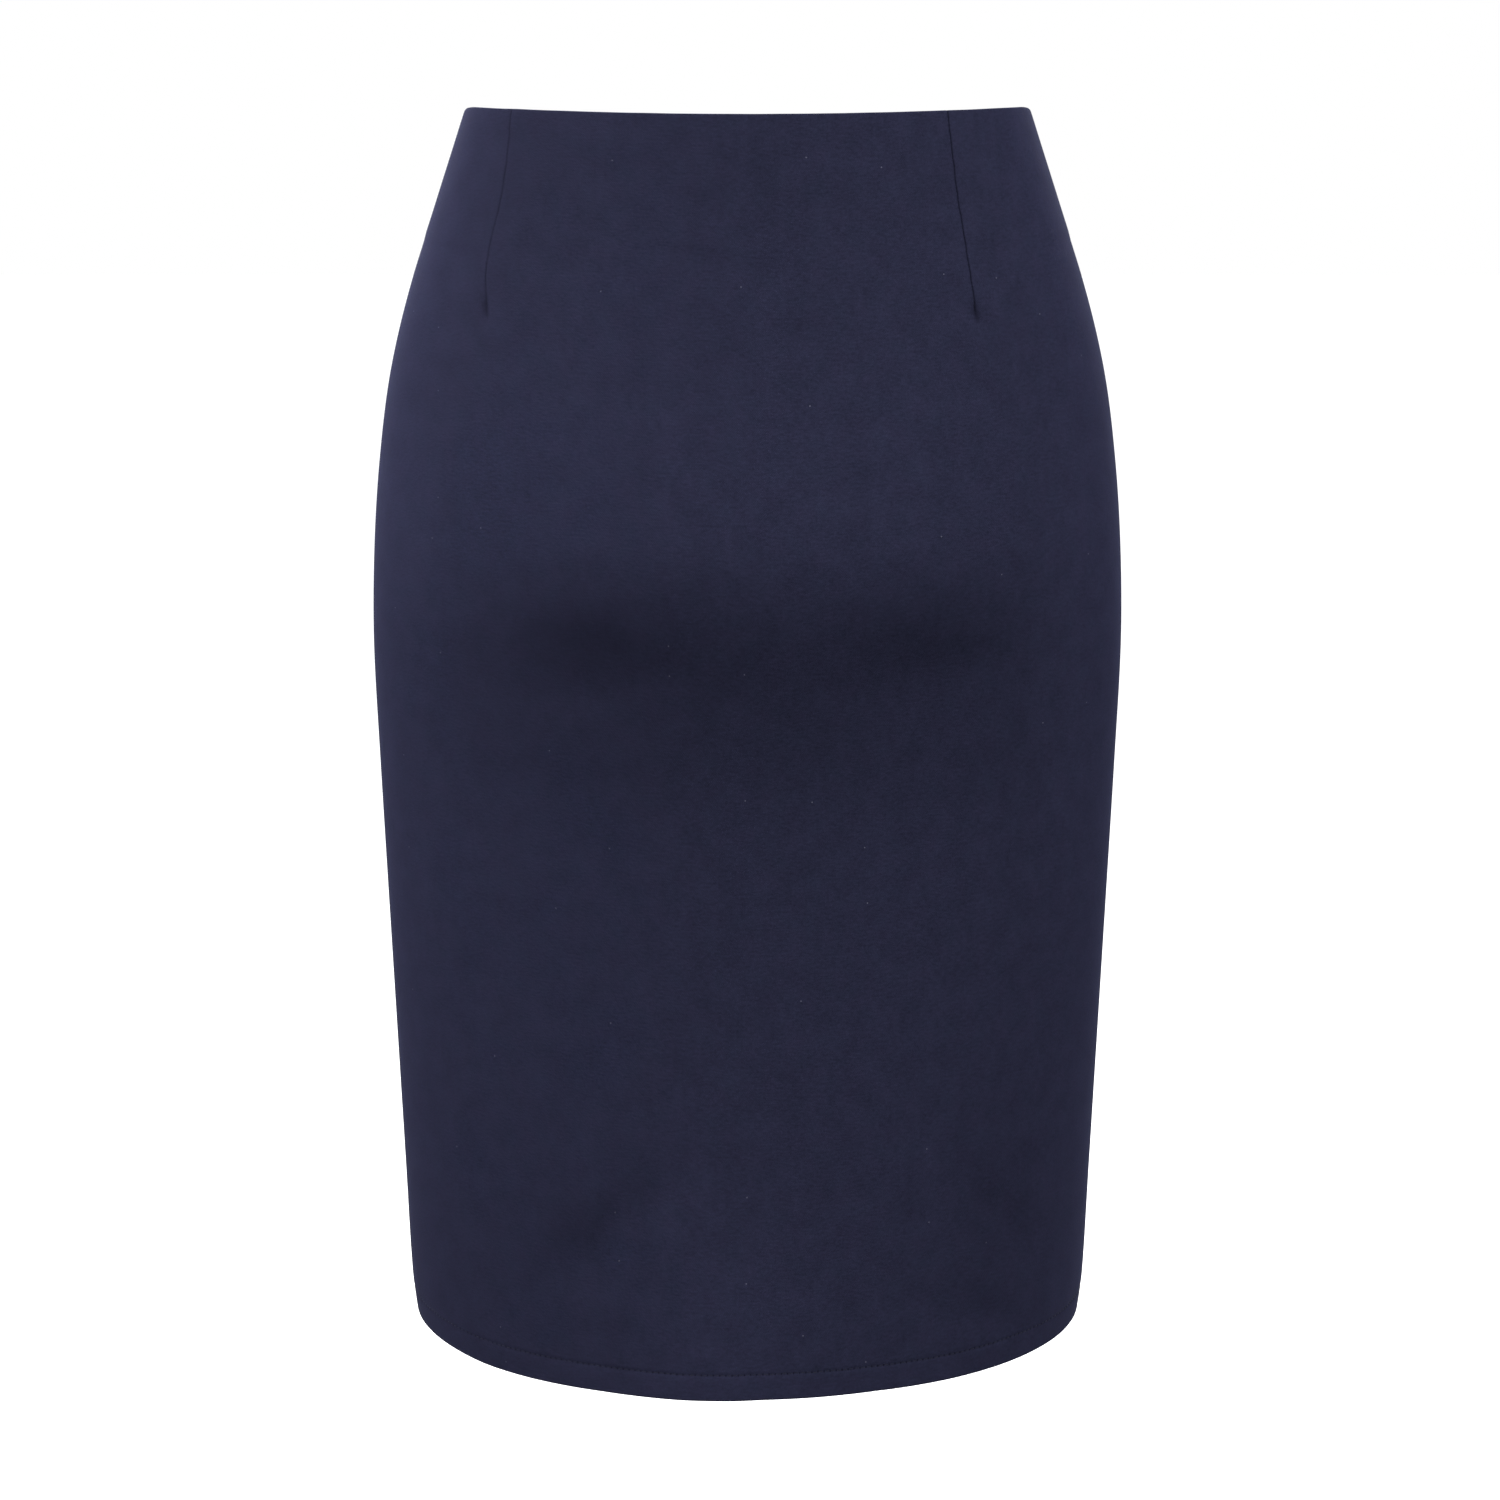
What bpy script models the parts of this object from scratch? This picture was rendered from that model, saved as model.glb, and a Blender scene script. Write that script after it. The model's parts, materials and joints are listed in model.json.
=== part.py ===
"""A pencil skirt, worn: front, two back panels, waist facings and an invisible zip at the centre back.

Metres, +Z up. The origin is the middle of the waist opening, the front faces -Y and the wearer's left is +X.
Tables and sizes below are in millimetres, and MM turns them into metres.
"""

from bisect import bisect_right
from collections import namedtuple
from math import acos, asin, atan2, cos, exp, pi, radians, sin

import bmesh
import bpy
from mathutils import Matrix, Vector

MM = 0.001

# Cloth
CLOTH = 1.3  # thickness of the double knit
FACING = 1.0  # thickness of the waist facing
TAPE = 1.0  # thickness of the zip's tape
GAP = 0.3  # between pieces that are sewn together
LENGTH = 574.0  # waist to hem at the side seam
HEM_TURN = 15.0  # the hem is turned up this far inside
HEM_STEP = 0.6  # drop over which the turned hem's raw edge steps out of the wall
FACING_DEPTH = 58.0
WAIST_DIP = {"front": 3.5, "back": 7.0}  # the edge sits this much lower in the middle than at the sides
HEM_DIP = {"front": 3.0, "back": 1.0}

# The skirt's level sections: half ovals that meet at the side seams
Section = namedtuple("Section", "drop half_width front_depth back_depth")
SECTIONS = [
    Section(0.0, 128.5, 92.0, 96.0),
    Section(40.0, 142.0, 100.5, 103.0),
    Section(80.0, 155.1, 108.5, 110.5),
    Section(120.0, 165.2, 114.0, 117.0),
    Section(160.0, 171.0, 117.5, 123.0),
    Section(200.0, 174.3, 119.0, 127.0),
    Section(245.0, 175.6, 118.0, 128.5),
    Section(300.0, 173.9, 117.5, 127.0),
    Section(400.0, 169.9, 119.5, 124.0),
    Section(500.0, 165.8, 122.0, 122.0),
    Section(556.0, 163.5, 123.4, 121.2),
    Section(574.0, 161.4, 124.0, 120.8),
]

# Darts: the sewn line's distance from the middle of the body at the waist and at its tip
Dart = namedtuple("Dart", "panel waist_x tip_x length")
DARTS = [
    Dart("front", -104.0, -115.0, 95.0),
    Dart("front", 88.0, 100.0, 95.0),
    Dart("back", -86.0, -93.0, 115.0),
    Dart("back", 86.0, 93.0, 115.0),
]
DART_GROOVE = 0.7  # how deep the sewn line sinks
DART_HALF_WIDTH = 1.4

# The largest soft folds: shallow hollows where the cloth tucks in below its fullest level
Hollow = namedtuple("Hollow", "panel x drop reach_x reach_drop depth")
HOLLOWS = [
    Hollow("front", 10.0, 240.0, 95.0, 24.0, 1.8),
    Hollow("front", -64.0, 238.0, 30.0, 18.0, 1.9),
    Hollow("front", 84.0, 240.0, 32.0, 19.0, 2.2),
    Hollow("back", -6.0, 262.0, 90.0, 30.0, 2.0),
]

# Levels of the cloth's rows, and how many columns lie between one edge or dart and the next
ROWS = [0, 5, 11, 17, 30, 44, 58, 76, 95, 115, 140, 165, 190, 215, 240, 265, 300, 345, 395, 445, 495, 530]
COLUMNS = {"front": (7, 14, 8), "back": (7, 15, 7)}
MIDDLE_BACK_COLUMN = 12.0  # the back panels have a column here, where the facing ends
NEXT_COLUMN_FACTOR = 1.5  # the column after it stands at least this many times as far round

# Zip
TAPE_TOP = 5
TAPE_END = 190
TAPE_WIDTH = 11.7
SLIT = 1.1  # the back seam stands open this far each side of the middle, where the slider's ring comes out
SLIT_DROP = 11.0
HINGE_DROP = 6.0
HINGE_OUT = 0.95  # the pull's axis stands this far out of the cloth
RING_INSIDE = 0.95
RING_OUTSIDE = 1.75
RING_WIDTH = 1.0
RING_ARC_STEPS = 12
SLIDER_WIDTH = 5.2
SLIDER_TOP = 2.5
SLIDER_BOTTOM = -6.0
SLIDER_DEPTH = 2.6
SLIDER_EDGE = 0.6
SLIDER_TAPER = 0.72  # its lower end is this much of its width, where the teeth run together
RING_ROOT = 0.5  # the ring's legs are sunk this far into the slider
PULL_LENGTH = 16.0
PULL_TOP_WIDTH = 3.6
PULL_WIDTH = 5.0
PULL_THICKNESS = 0.9
PULL_TOP = 0.5
PULL_EYE_TOP = -0.5  # the bar between the top and the eye turns in the ring
PULL_EYE_BOTTOM = -2.6
PULL_EYE_WIDTH = 2.0
PULL_ARC_STEPS = 8

# Finishes: colour, roughness, metallic
NAVY_KNIT = ("navy_knit", (0.021, 0.023, 0.046), 0.85, 0.0)
NAVY_TAPE = ("navy_tape", (0.018, 0.020, 0.040), 0.80, 0.0)
NAVY_ENAMEL = ("navy_enamel", (0.015, 0.017, 0.036), 0.35, 0.4)


# --- the cloth's form ---------------------------------------------------------------------------------------


def size_at(column, drop):
    """One of the sections' sizes at any drop, on a smooth curve through the table."""
    drops = [section.drop for section in SECTIONS]
    sizes = [getattr(section, column) for section in SECTIONS]
    low = min(max(bisect_right(drops, drop) - 1, 0), len(drops) - 2)
    high = low + 1
    span = drops[high] - drops[low]

    def slope(at):
        before = max(at - 1, 0)
        after = min(at + 1, len(drops) - 1)
        return (sizes[after] - sizes[before]) / (drops[after] - drops[before])

    part = (drop - drops[low]) / span
    keep_low = (1 + 2 * part) * (1 - part) ** 2
    keep_high = part**2 * (3 - 2 * part)
    bend = span * part * (1 - part) * ((1 - part) * slope(low) - part * slope(high))
    return keep_low * sizes[low] + keep_high * sizes[high] + bend


def plain_skin(panel, angle, drop):
    """A point on the smooth outer face. The angle is 0 at the panel's middle and grows towards +X."""
    x = size_at("half_width", drop) * sin(angle)
    depth = size_at(panel + "_depth", drop) * cos(angle)
    down = drop / LENGTH
    dip = (WAIST_DIP[panel] * (1 - down) + HEM_DIP[panel] * down) * cos(angle) ** 2
    return Vector((x, -depth if panel == "front" else depth, -drop - dip))


def outward(panel, angle, drop):
    """The direction straight out of the cloth."""
    turn, fall = 0.002, 0.5
    across = plain_skin(panel, angle + turn, drop) - plain_skin(panel, angle - turn, drop)
    along = plain_skin(panel, angle, drop + fall) - plain_skin(panel, angle, drop - fall)
    normal = along.cross(across) if panel == "front" else across.cross(along)
    return normal.normalized()


def dart_angle(dart, drop):
    """Where a dart's line lies at a drop. Below the tip it carries on at the tip's angle."""
    drop = min(drop, dart.length)
    x = dart.waist_x + (dart.tip_x - dart.waist_x) * drop / dart.length
    return asin(x / size_at("half_width", drop))


def sunk(panel, angle, drop):
    """How far the cloth lies inside its smooth face, in a dart's line or a soft hollow."""
    point = plain_skin(panel, angle, drop)
    depth = 0.0
    for hollow in HOLLOWS:
        if hollow.panel == panel:
            across = (point.x - hollow.x) / hollow.reach_x
            along = (drop - hollow.drop) / hollow.reach_drop
            depth += hollow.depth * exp(-(across**2 + along**2) / 2)
    for dart in DARTS:
        if dart.panel == panel and drop < dart.length:
            away = abs(point.x - plain_skin(panel, dart_angle(dart, drop), drop).x) / DART_HALF_WIDTH
            fade = min(1.0, 2 * (dart.length - drop) / dart.length)
            depth += DART_GROOVE * fade * max(0.0, 1 - away)
    return depth


def cloth_point(panel, angle, drop, inside):
    """A point a given distance inside the cloth's outer face, in metres."""
    depth = sunk(panel, angle, drop) + inside
    return (plain_skin(panel, angle, drop) - outward(panel, angle, drop) * depth) * MM


def seam_angle(panel, drop):
    """The side seam's edge: half the sewing gap short of the middle of the side."""
    return acos(GAP / 2 / size_at(panel + "_depth", drop))


def middle_back_angle(x, drop):
    return asin(x / size_at("half_width", drop))


def slit_half(drop):
    return SLIT if drop <= SLIT_DROP else GAP / 2


def spread(start, end, count):
    """Angles from start up to, and not including, end."""
    return [start + (end - start) * step / count for step in range(count)]


def panel_angles(panel, drop):
    """The columns of a whole front or back at a drop, with three at each dart's line."""
    darts = [dart for dart in DARTS if dart.panel == panel]
    edge = seam_angle(panel, drop)
    half_line = asin(DART_HALF_WIDTH / size_at("half_width", drop))
    lines = [dart_angle(dart, drop) for dart in darts]
    before, between, after = COLUMNS[panel]
    angles = spread(-edge, lines[0] - half_line, before)
    angles += spread(lines[0] - half_line, lines[0] + half_line, 2)
    angles += spread(lines[0] + half_line, lines[1] - half_line, between)
    angles += spread(lines[1] - half_line, lines[1] + half_line, 2)
    angles += spread(lines[1] + half_line, edge, after) + [edge]
    return angles


def back_half_angles(side, drop, middle_x):
    """The columns of one back panel, from the middle seam out to the side seam."""
    outer = middle_back_angle(MIDDLE_BACK_COLUMN, drop)
    outside = [angle for angle in panel_angles("back", drop) if angle > outer * NEXT_COLUMN_FACTOR]
    return [side * angle for angle in [middle_back_angle(middle_x, drop), outer] + outside]


# --- building -----------------------------------------------------------------------------------------------


def finish_of(finish):
    """The Principled material of a finish."""
    name, colour, roughness, metallic = finish
    material = bpy.data.materials.get(name) or bpy.data.materials.new(name)
    material.use_nodes = True
    shader = material.node_tree.nodes["Principled BSDF"]
    shader.inputs["Base Color"].default_value = (*colour, 1.0)
    shader.inputs["Roughness"].default_value = roughness
    shader.inputs["Metallic"].default_value = metallic
    material.diffuse_color = (*colour, 1.0)
    return material


def add_object(name, mesh, finish, collection):
    item = bpy.data.objects.new(name, mesh)
    mesh.materials.clear()
    mesh.materials.append(finish_of(finish))
    collection.objects.link(item)
    return item


def cloth_wall(name, outer, inner, finish, collection):
    """A closed wall between an outer and an inner grid of points, rows from the top down."""
    build = bmesh.new()
    rims = []
    for points in (outer, inner):
        grid = [[build.verts.new(point) for point in row] for row in points]
        for upper, lower in zip(grid, grid[1:]):
            for column in range(len(upper) - 1):
                build.faces.new((upper[column], lower[column], lower[column + 1], upper[column + 1]))
        left = [row[0] for row in grid]
        right = [row[-1] for row in grid]
        rims.append(grid[0] + right[1:] + grid[-1][-2::-1] + left[-2:0:-1])
    outer_rim, inner_rim = rims
    for at in range(len(outer_rim)):
        ahead = (at + 1) % len(outer_rim)
        build.faces.new((outer_rim[at], outer_rim[ahead], inner_rim[ahead], inner_rim[at]))
    bmesh.ops.recalc_face_normals(build, faces=build.faces)
    mesh = bpy.data.meshes.new(name)
    build.to_mesh(mesh)
    build.free()
    mesh.shade_smooth()
    mesh.set_sharp_from_angle(angle=radians(40))
    return add_object(name, mesh, finish, collection)


def cloth_grid(panel, rows, angles_at, inside_at):
    """Points of one face of a piece. The inside distance may change with the drop."""
    return [[cloth_point(panel, angle, drop, inside_at(drop)) for angle in angles_at(drop)] for drop in rows]


def panel_inside(drop):
    """The panel's thickness, which doubles where the hem is turned up."""
    return CLOTH if drop <= LENGTH - HEM_TURN else 2 * CLOTH


def add_panels(collection):
    rows = ROWS + [LENGTH - HEM_TURN, LENGTH - HEM_TURN + HEM_STEP, LENGTH]
    pieces = {
        "front_panel": ("front", lambda drop: panel_angles("front", drop)),
        "back_panel_left": ("back", lambda drop: back_half_angles(1, drop, slit_half(drop))),
        "back_panel_right": ("back", lambda drop: back_half_angles(-1, drop, slit_half(drop))),
    }
    for name, (panel, angles_at) in pieces.items():
        outer = cloth_grid(panel, rows, angles_at, lambda drop: 0.0)
        inner = cloth_grid(panel, rows, angles_at, panel_inside)
        cloth_wall(name, outer, inner, NAVY_KNIT, collection)


def add_facings(collection):
    rows = [drop for drop in ROWS if drop <= FACING_DEPTH]
    near = CLOTH + GAP
    pieces = {
        "front_facing": ("front", lambda drop: panel_angles("front", drop)),
        "back_facing_left": ("back", lambda drop: back_half_angles(1, drop, 0)[1:]),
        "back_facing_right": ("back", lambda drop: back_half_angles(-1, drop, 0)[1:]),
    }
    for name, (panel, angles_at) in pieces.items():
        outer = cloth_grid(panel, rows, angles_at, lambda drop: near)
        inner = cloth_grid(panel, rows, angles_at, lambda drop: near + FACING)
        cloth_wall(name, outer, inner, NAVY_KNIT, collection)


def add_zip_tapes(collection):
    rows = [drop for drop in ROWS if TAPE_TOP <= drop <= TAPE_END]
    near = CLOTH + GAP
    for name, side in (("zip_tape_left", 1), ("zip_tape_right", -1)):

        def angles_at(drop, side=side):
            return [side * middle_back_angle(x, drop) for x in (slit_half(drop), TAPE_WIDTH)]

        outer = cloth_grid("back", rows, angles_at, lambda drop: near)
        inner = cloth_grid("back", rows, angles_at, lambda drop: near + TAPE)
        cloth_wall(name, outer, inner, NAVY_TAPE, collection)


def flat_outline(name, loops, thickness):
    """A flat plate with a filled outline and an eye: the first loop is its edge, the second its eye."""
    curve = bpy.data.curves.new(name, "CURVE")
    curve.dimensions = "2D"
    curve.fill_mode = "BOTH"
    curve.extrude = thickness / 2 * MM
    for loop in loops:
        spline = curve.splines.new("POLY")
        spline.points.add(len(loop) - 1)
        for point, (across, along) in zip(spline.points, loop):
            point.co = (across * MM, along * MM, 0.0, 1.0)
        spline.use_cyclic_u = True
    guide = bpy.data.objects.new(name, curve)
    bpy.context.scene.collection.objects.link(guide)
    bpy.context.view_layer.update()
    mesh = bpy.data.meshes.new_from_object(guide.evaluated_get(bpy.context.evaluated_depsgraph_get()))
    bpy.data.objects.remove(guide)
    bpy.data.curves.remove(curve)
    build = bmesh.new()
    build.from_mesh(mesh)
    bmesh.ops.remove_doubles(build, verts=build.verts, dist=0.00001)
    bmesh.ops.recalc_face_normals(build, faces=build.faces)
    build.to_mesh(mesh)
    build.free()
    return mesh


def arc(radius, start, end, steps, centre=(0.0, 0.0)):
    """Points along an arc, with the angles in degrees."""
    turns = [radians(start + (end - start) * step / steps) for step in range(steps + 1)]
    return [(centre[0] + radius * cos(turn), centre[1] + radius * sin(turn)) for turn in turns]


def add_slider(collection, anchor, cutters):
    """The slider behind the tapes, and the ring through the slit that carries the pull."""
    face = -(HINGE_OUT + CLOTH + GAP + TAPE + GAP)
    legs_end = face - RING_ROOT
    eye_end = face + RING_ROOT
    edge = arc(RING_OUTSIDE, -90, 90, RING_ARC_STEPS)
    edge += [(legs_end, RING_OUTSIDE), (legs_end, -RING_OUTSIDE)]
    eye = arc(RING_INSIDE, -90, 90, RING_ARC_STEPS)
    eye += [(eye_end, RING_INSIDE), (eye_end, -RING_INSIDE)]
    ring_mesh = flat_outline("slider_ring", [edge, eye], RING_WIDTH)
    # the outline's first axis becomes +Y, out of the cloth, and its second becomes +Z
    ring_mesh.transform(Matrix(((0, 0, 1, 0), (1, 0, 0, 0), (0, 1, 0, 0), (0, 0, 0, 1))))
    ring = add_object("slider_ring", ring_mesh, NAVY_ENAMEL, cutters)
    ring.hide_render = True
    ring.display_type = "WIRE"
    ring.parent = anchor

    build = bmesh.new()
    bmesh.ops.create_cube(build, size=1.0)
    height = SLIDER_TOP - SLIDER_BOTTOM
    middle = (0.0, (face - SLIDER_DEPTH / 2) * MM, (SLIDER_TOP + SLIDER_BOTTOM) / 2 * MM)
    size = (SLIDER_WIDTH * MM, SLIDER_DEPTH * MM, height * MM, 1.0)
    bmesh.ops.transform(build, matrix=Matrix.Translation(middle) @ Matrix.Diagonal(size), verts=build.verts)
    # the lower end narrows, as the channels close
    for vert in build.verts:
        if vert.co.z < middle[2]:
            vert.co.x *= SLIDER_TAPER
    mesh = bpy.data.meshes.new("zip_slider")
    build.to_mesh(mesh)
    build.free()
    slider = add_object("zip_slider", mesh, NAVY_ENAMEL, collection)
    slider.parent = anchor
    rounded = slider.modifiers.new("rounded", "BEVEL")
    rounded.width = SLIDER_EDGE * MM
    rounded.segments = 2
    joined = slider.modifiers.new("ring", "BOOLEAN")
    joined.operation = "UNION"
    joined.solver = "EXACT"
    joined.object = ring
    return slider


def add_pull(collection, anchor):
    """The drop-shaped tab, hanging from the ring by its eye. Its origin is on the hinge's axis."""
    end_radius = PULL_WIDTH / 2
    end_centre = (0.0, -PULL_LENGTH + end_radius)
    shoulder = PULL_TOP_WIDTH / 2
    edge = arc(end_radius, 180, 360, PULL_ARC_STEPS, end_centre)
    edge += [(shoulder, PULL_TOP), (-shoulder, PULL_TOP)]
    eye_half = PULL_EYE_WIDTH / 2
    eye = [
        (-eye_half, PULL_EYE_TOP),
        (eye_half, PULL_EYE_TOP),
        (eye_half, PULL_EYE_BOTTOM),
        (-eye_half, PULL_EYE_BOTTOM),
    ]
    mesh = flat_outline("zip_pull", [edge, eye], PULL_THICKNESS)
    # the outline's second axis stands up as +Z, and its thickness lies along Y
    mesh.transform(Matrix.Rotation(pi / 2, 4, "X"))
    pull = add_object("zip_pull", mesh, NAVY_ENAMEL, collection)
    pull.parent = anchor
    return pull


def add_zip_anchor():
    """An empty on the pull's axis, leaning with the cloth behind it."""
    lean = outward("back", 0.0, HINGE_DROP)
    place = plain_skin("back", 0.0, HINGE_DROP) + lean * HINGE_OUT
    anchor = bpy.data.objects.new("zip_anchor", None)
    anchor.location = place * MM
    anchor.rotation_euler.x = atan2(lean.z, lean.y)
    bpy.context.scene.collection.objects.link(anchor)
    return anchor


def main():
    for item in list(bpy.data.objects):
        bpy.data.objects.remove(item)
    collection = bpy.data.collections.new("pencil_skirt")
    cutters = bpy.data.collections.new("cutters")
    bpy.context.scene.collection.children.link(collection)
    bpy.context.scene.collection.children.link(cutters)
    add_panels(collection)
    add_facings(collection)
    add_zip_tapes(collection)
    anchor = add_zip_anchor()
    add_slider(collection, anchor, cutters)
    add_pull(collection, anchor)
    bpy.context.view_layer.update()


main()
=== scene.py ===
"""A pencil skirt as worn, in navy double knit: its panels, facings, stitching, zip and a plain studio."""

import json
from collections import namedtuple
from math import atan2, pi, radians

import bmesh
import bpy
import numpy as np
from bpy.props import FloatProperty, FloatVectorProperty, PointerProperty
from bpy.types import Operator, Panel, PropertyGroup
from mathutils import Matrix, Vector


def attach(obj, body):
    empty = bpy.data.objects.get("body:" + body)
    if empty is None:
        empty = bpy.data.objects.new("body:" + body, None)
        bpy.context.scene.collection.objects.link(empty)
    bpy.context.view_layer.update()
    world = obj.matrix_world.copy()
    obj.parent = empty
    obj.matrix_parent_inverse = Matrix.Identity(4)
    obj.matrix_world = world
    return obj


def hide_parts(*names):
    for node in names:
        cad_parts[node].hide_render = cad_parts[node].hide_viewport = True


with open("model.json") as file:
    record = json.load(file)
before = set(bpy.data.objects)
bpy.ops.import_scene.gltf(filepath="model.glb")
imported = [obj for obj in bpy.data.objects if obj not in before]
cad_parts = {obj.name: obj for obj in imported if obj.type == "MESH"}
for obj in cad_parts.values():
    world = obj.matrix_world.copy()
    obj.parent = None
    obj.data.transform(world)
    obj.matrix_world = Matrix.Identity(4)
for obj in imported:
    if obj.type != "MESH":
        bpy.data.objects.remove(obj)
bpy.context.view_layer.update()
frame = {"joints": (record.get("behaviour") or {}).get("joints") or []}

bl_info = {
    "name": "Pencil Skirt",
    "version": (1, 0, 0),
    "blender": (4, 5, 0),
    "location": "3D View > Sidebar > Skirt",
    "description": "Builds a worn pencil skirt in navy double knit, with its zip and a plain studio",
    "category": "Add Mesh",
}

# --- sizes, in millimetres where nothing else is said ---

MM = 0.001  # a millimetre in metres

# Thicknesses, and the gap that is left between one layer and the next
CLOTH = 1.3
FACING = 1.0
TAPE = 0.8
TAPE_ROOM = 1.0
GAP = 0.3
NAP = 0.3

# Lengths down the skirt, and how far its edges dip in the middle of each panel
LENGTH = 574.0
HEM_TURN = 15.0
HEM_STEP = 0.5
FACING_DEPTH = 58.0
STITCH_UP = 12.5
STITCH_LINE = LENGTH - STITCH_UP
WAIST_DIP = {"front": 3.5, "back": 7.0}
HEM_DIP = {"front": 3.0, "back": 1.0}
WAIST_LIFT = 0.45
WAIST_LIFT_END = 20.0
HEM_LIFT_START = LENGTH - 90.0
HEM_LIFT = [
    (-165, -0.4), (-145, -0.8), (-122, -1.5), (-100, -1.2), (-67, -0.6), (-30, -0.9), (-8, -0.5),
    (8, 0.2), (30, 0.4), (60, 0.75), (93, 0.1), (125, -0.3), (145, -0.5), (165, -0.4),
]

# The skirt's level sections: half ovals that meet at the side seams
Section = namedtuple("Section", "drop half_width front_depth back_depth")
SECTIONS = [
    Section(0.0, 128.5, 92.0, 96.0),
    Section(40.0, 142.0, 100.5, 103.0),
    Section(80.0, 155.1, 108.5, 110.5),
    Section(120.0, 165.2, 114.0, 117.0),
    Section(160.0, 171.0, 117.5, 123.0),
    Section(200.0, 174.3, 119.0, 127.0),
    Section(245.0, 175.6, 118.0, 128.5),
    Section(300.0, 173.9, 117.5, 127.0),
    Section(400.0, 169.9, 119.5, 124.0),
    Section(500.0, 165.8, 122.0, 122.0),
    Section(556.0, 163.5, 123.4, 121.2),
    Section(574.0, 161.4, 124.0, 120.8),
]

# A slow wave along the cloth, in sums of such waves: its length, height and start
DART_WAVES = ((11.0, 0.11, 0.4), (5.7, 0.06, 1.3))
FACING_EDGE_WAVES = ((150.0, 2.0, 0.5), (61.0, 1.2, 2.0))
FACING_STEP_WAVES = ((128.0, 0.13, 1.9), (47.0, 0.05, 0.2))
PUCKER_WAVES = ((11.0, 0.05, 0.3), (17.3, 0.06, 1.1), (7.1, 0.03, 2.0))
WAIST_WAVES = ((19.0, 0.05, 0.0), (31.0, 0.06, 1.0))

# Darts: the sewn line's places across the skirt at stations down it, its groove, and the turn of the cloth
# on its outer side, where the folded part inside lifts the inner side
Dart = namedtuple("Dart", "stations length groove width turn")
RIGHT_LINE = [(0, -104.0), (22, -105.8), (40, -108.6), (58, -113.4), (70, -115.3), (95, -115.0)]
LEFT_LINE = [(0, 87.3), (37, 91.7), (59, 95.6), (78, 98.7), (95, 101.5)]
BACK_DART = 115.0
DARTS = {
    "front": [Dart(RIGHT_LINE, 85.0, 0.34, 0.5, 0.95), Dart(LEFT_LINE, 86.5, 0.5, 0.42, 0.35)],
    "back": [
        Dart([(0, side * 86.0), (BACK_DART, side * 93.0)], BACK_DART, 0.6, 0.45, 0.4) for side in (-1, 1)
    ],
}
DART_TURN_NEAR = 7.0
DART_TURN_FAR = 26.0
TIP_DEPTH = 1.5
TIP_BELOW = 1.5
TIP_ACROSS = 2.3
TIP_DOWN = 5.5

# Soft hollows, and swells where the depth is below zero, with their reach along and across their own
# direction and its turn in degrees
Fold = namedtuple("Fold", "x drop along across turn depth")
FOLDS = {
    "front": [
        Fold(4, 198, 95, 28, 0, -1.5),
        Fold(0, 186, 90, 50, 0, -2.2),
        Fold(-65, 242, 30, 15.5, 0, 2.7),
        Fold(82, 241, 32, 16, 0, 2.8),
        Fold(10, 247, 36, 20, 0, 1.2),
        Fold(104, 158, 34, 10, 90, 0.7),
        Fold(-116, 128, 22, 12, 80, 0.4),
        Fold(110, 307, 20, 7, 52, 0.5),
        Fold(-61, 497, 28, 9.5, -44, 3.0),
        Fold(-22, 470, 40, 16, -60, -0.8),
        Fold(121, 506, 22, 7.5, 53, 2.5),
        Fold(108, 546, 18, 6.5, 28, 2.1),
        Fold(62, 490, 48, 10, 88, -0.6),
        Fold(-118, 545, 26, 9, 20, 0.5),
    ],
    "back": [
        Fold(-48, 258, 34, 18, 6, 1.9),
        Fold(56, 262, 30, 20, -5, 1.6),
        Fold(70, 500, 30, 9, 38, 1.2),
        Fold(-86, 486, 24, 8, -48, 1.0),
        Fold(-34, 528, 22, 8, -20, 0.7),
        Fold(98, 170, 30, 10, 84, 0.5),
        Fold(-98, 165, 32, 11, 96, 0.5),
    ],
}

# Below its fullest level the cloth tucks in, and comes out again slowly towards the hem
Tuck = namedtuple("Tuck", "start deepest leave end depth")
TUCKS = {"front": Tuck(190.0, 296.0, 330.0, 545.0, 4.3), "back": Tuck(205.0, 285.0, 320.0, 545.0, 3.4)}

# Slow changes of the knit's colour that paint light and shade on it: above 0 painted light and below 0
# painted shade, such as the shadows under the hips' fullness and beside the folds near the hem
PaintedPatch = namedtuple("PaintedPatch", "x drop across down stretch")
PAINTED_PATCHES = {
    "front": [
        PaintedPatch(-68, 226, 32, 19, -1.5),
        PaintedPatch(78, 226, 32, 19, -1.5),
        PaintedPatch(-14, 535, 38, 60, 1.6),
        PaintedPatch(-68, 506, 26, 18, -1.3),
        PaintedPatch(116, 505, 20, 52, -1.0),
        PaintedPatch(146, 235, 17, 115, 1.2),
        PaintedPatch(-152, 185, 15, 50, 0.9),
        PaintedPatch(-106, 38, 32, 55, -0.7),
    ],
    "back": [
        PaintedPatch(-72, 236, 30, 20, -0.7),
        PaintedPatch(66, 240, 34, 18, -0.8),
        PaintedPatch(22, 540, 48, 36, 1.0),
        PaintedPatch(-112, 500, 22, 48, -0.8),
        PaintedPatch(148, 220, 16, 90, 0.8),
    ],
}
# Strengths of the painted light over the hips, the painted shade below them and the painted shade at the
# waist
PAINTED_HIP_LIGHT = 1.2
PAINTED_SHADE_BELOW_HIPS = 1.6
PAINTED_WAIST_SHADE = 0.8

# The side seams and the middle back seam: how near their edges come, and the seam's edges pressed open inside
TOUCH = 0.003
ALLOWANCE = 10.0
ALLOWANCE_EDGE = 0.4
ALLOWANCE_RISE = 0.8

# The back seam parts only where the slider's ring comes out
SLIT = 0.75
SLIT_TOP = 3.6
SLIT_DROP = 9.0
SLIT_OPENS = 1.4
SLIT_CLOSES = 1.5

# Cutting: the waist's seam, and what each dart takes in
TOP_SEAM = 10.0
DART_INTAKE = 22.0
FRONT_DART_CUT = 94.0

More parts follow.
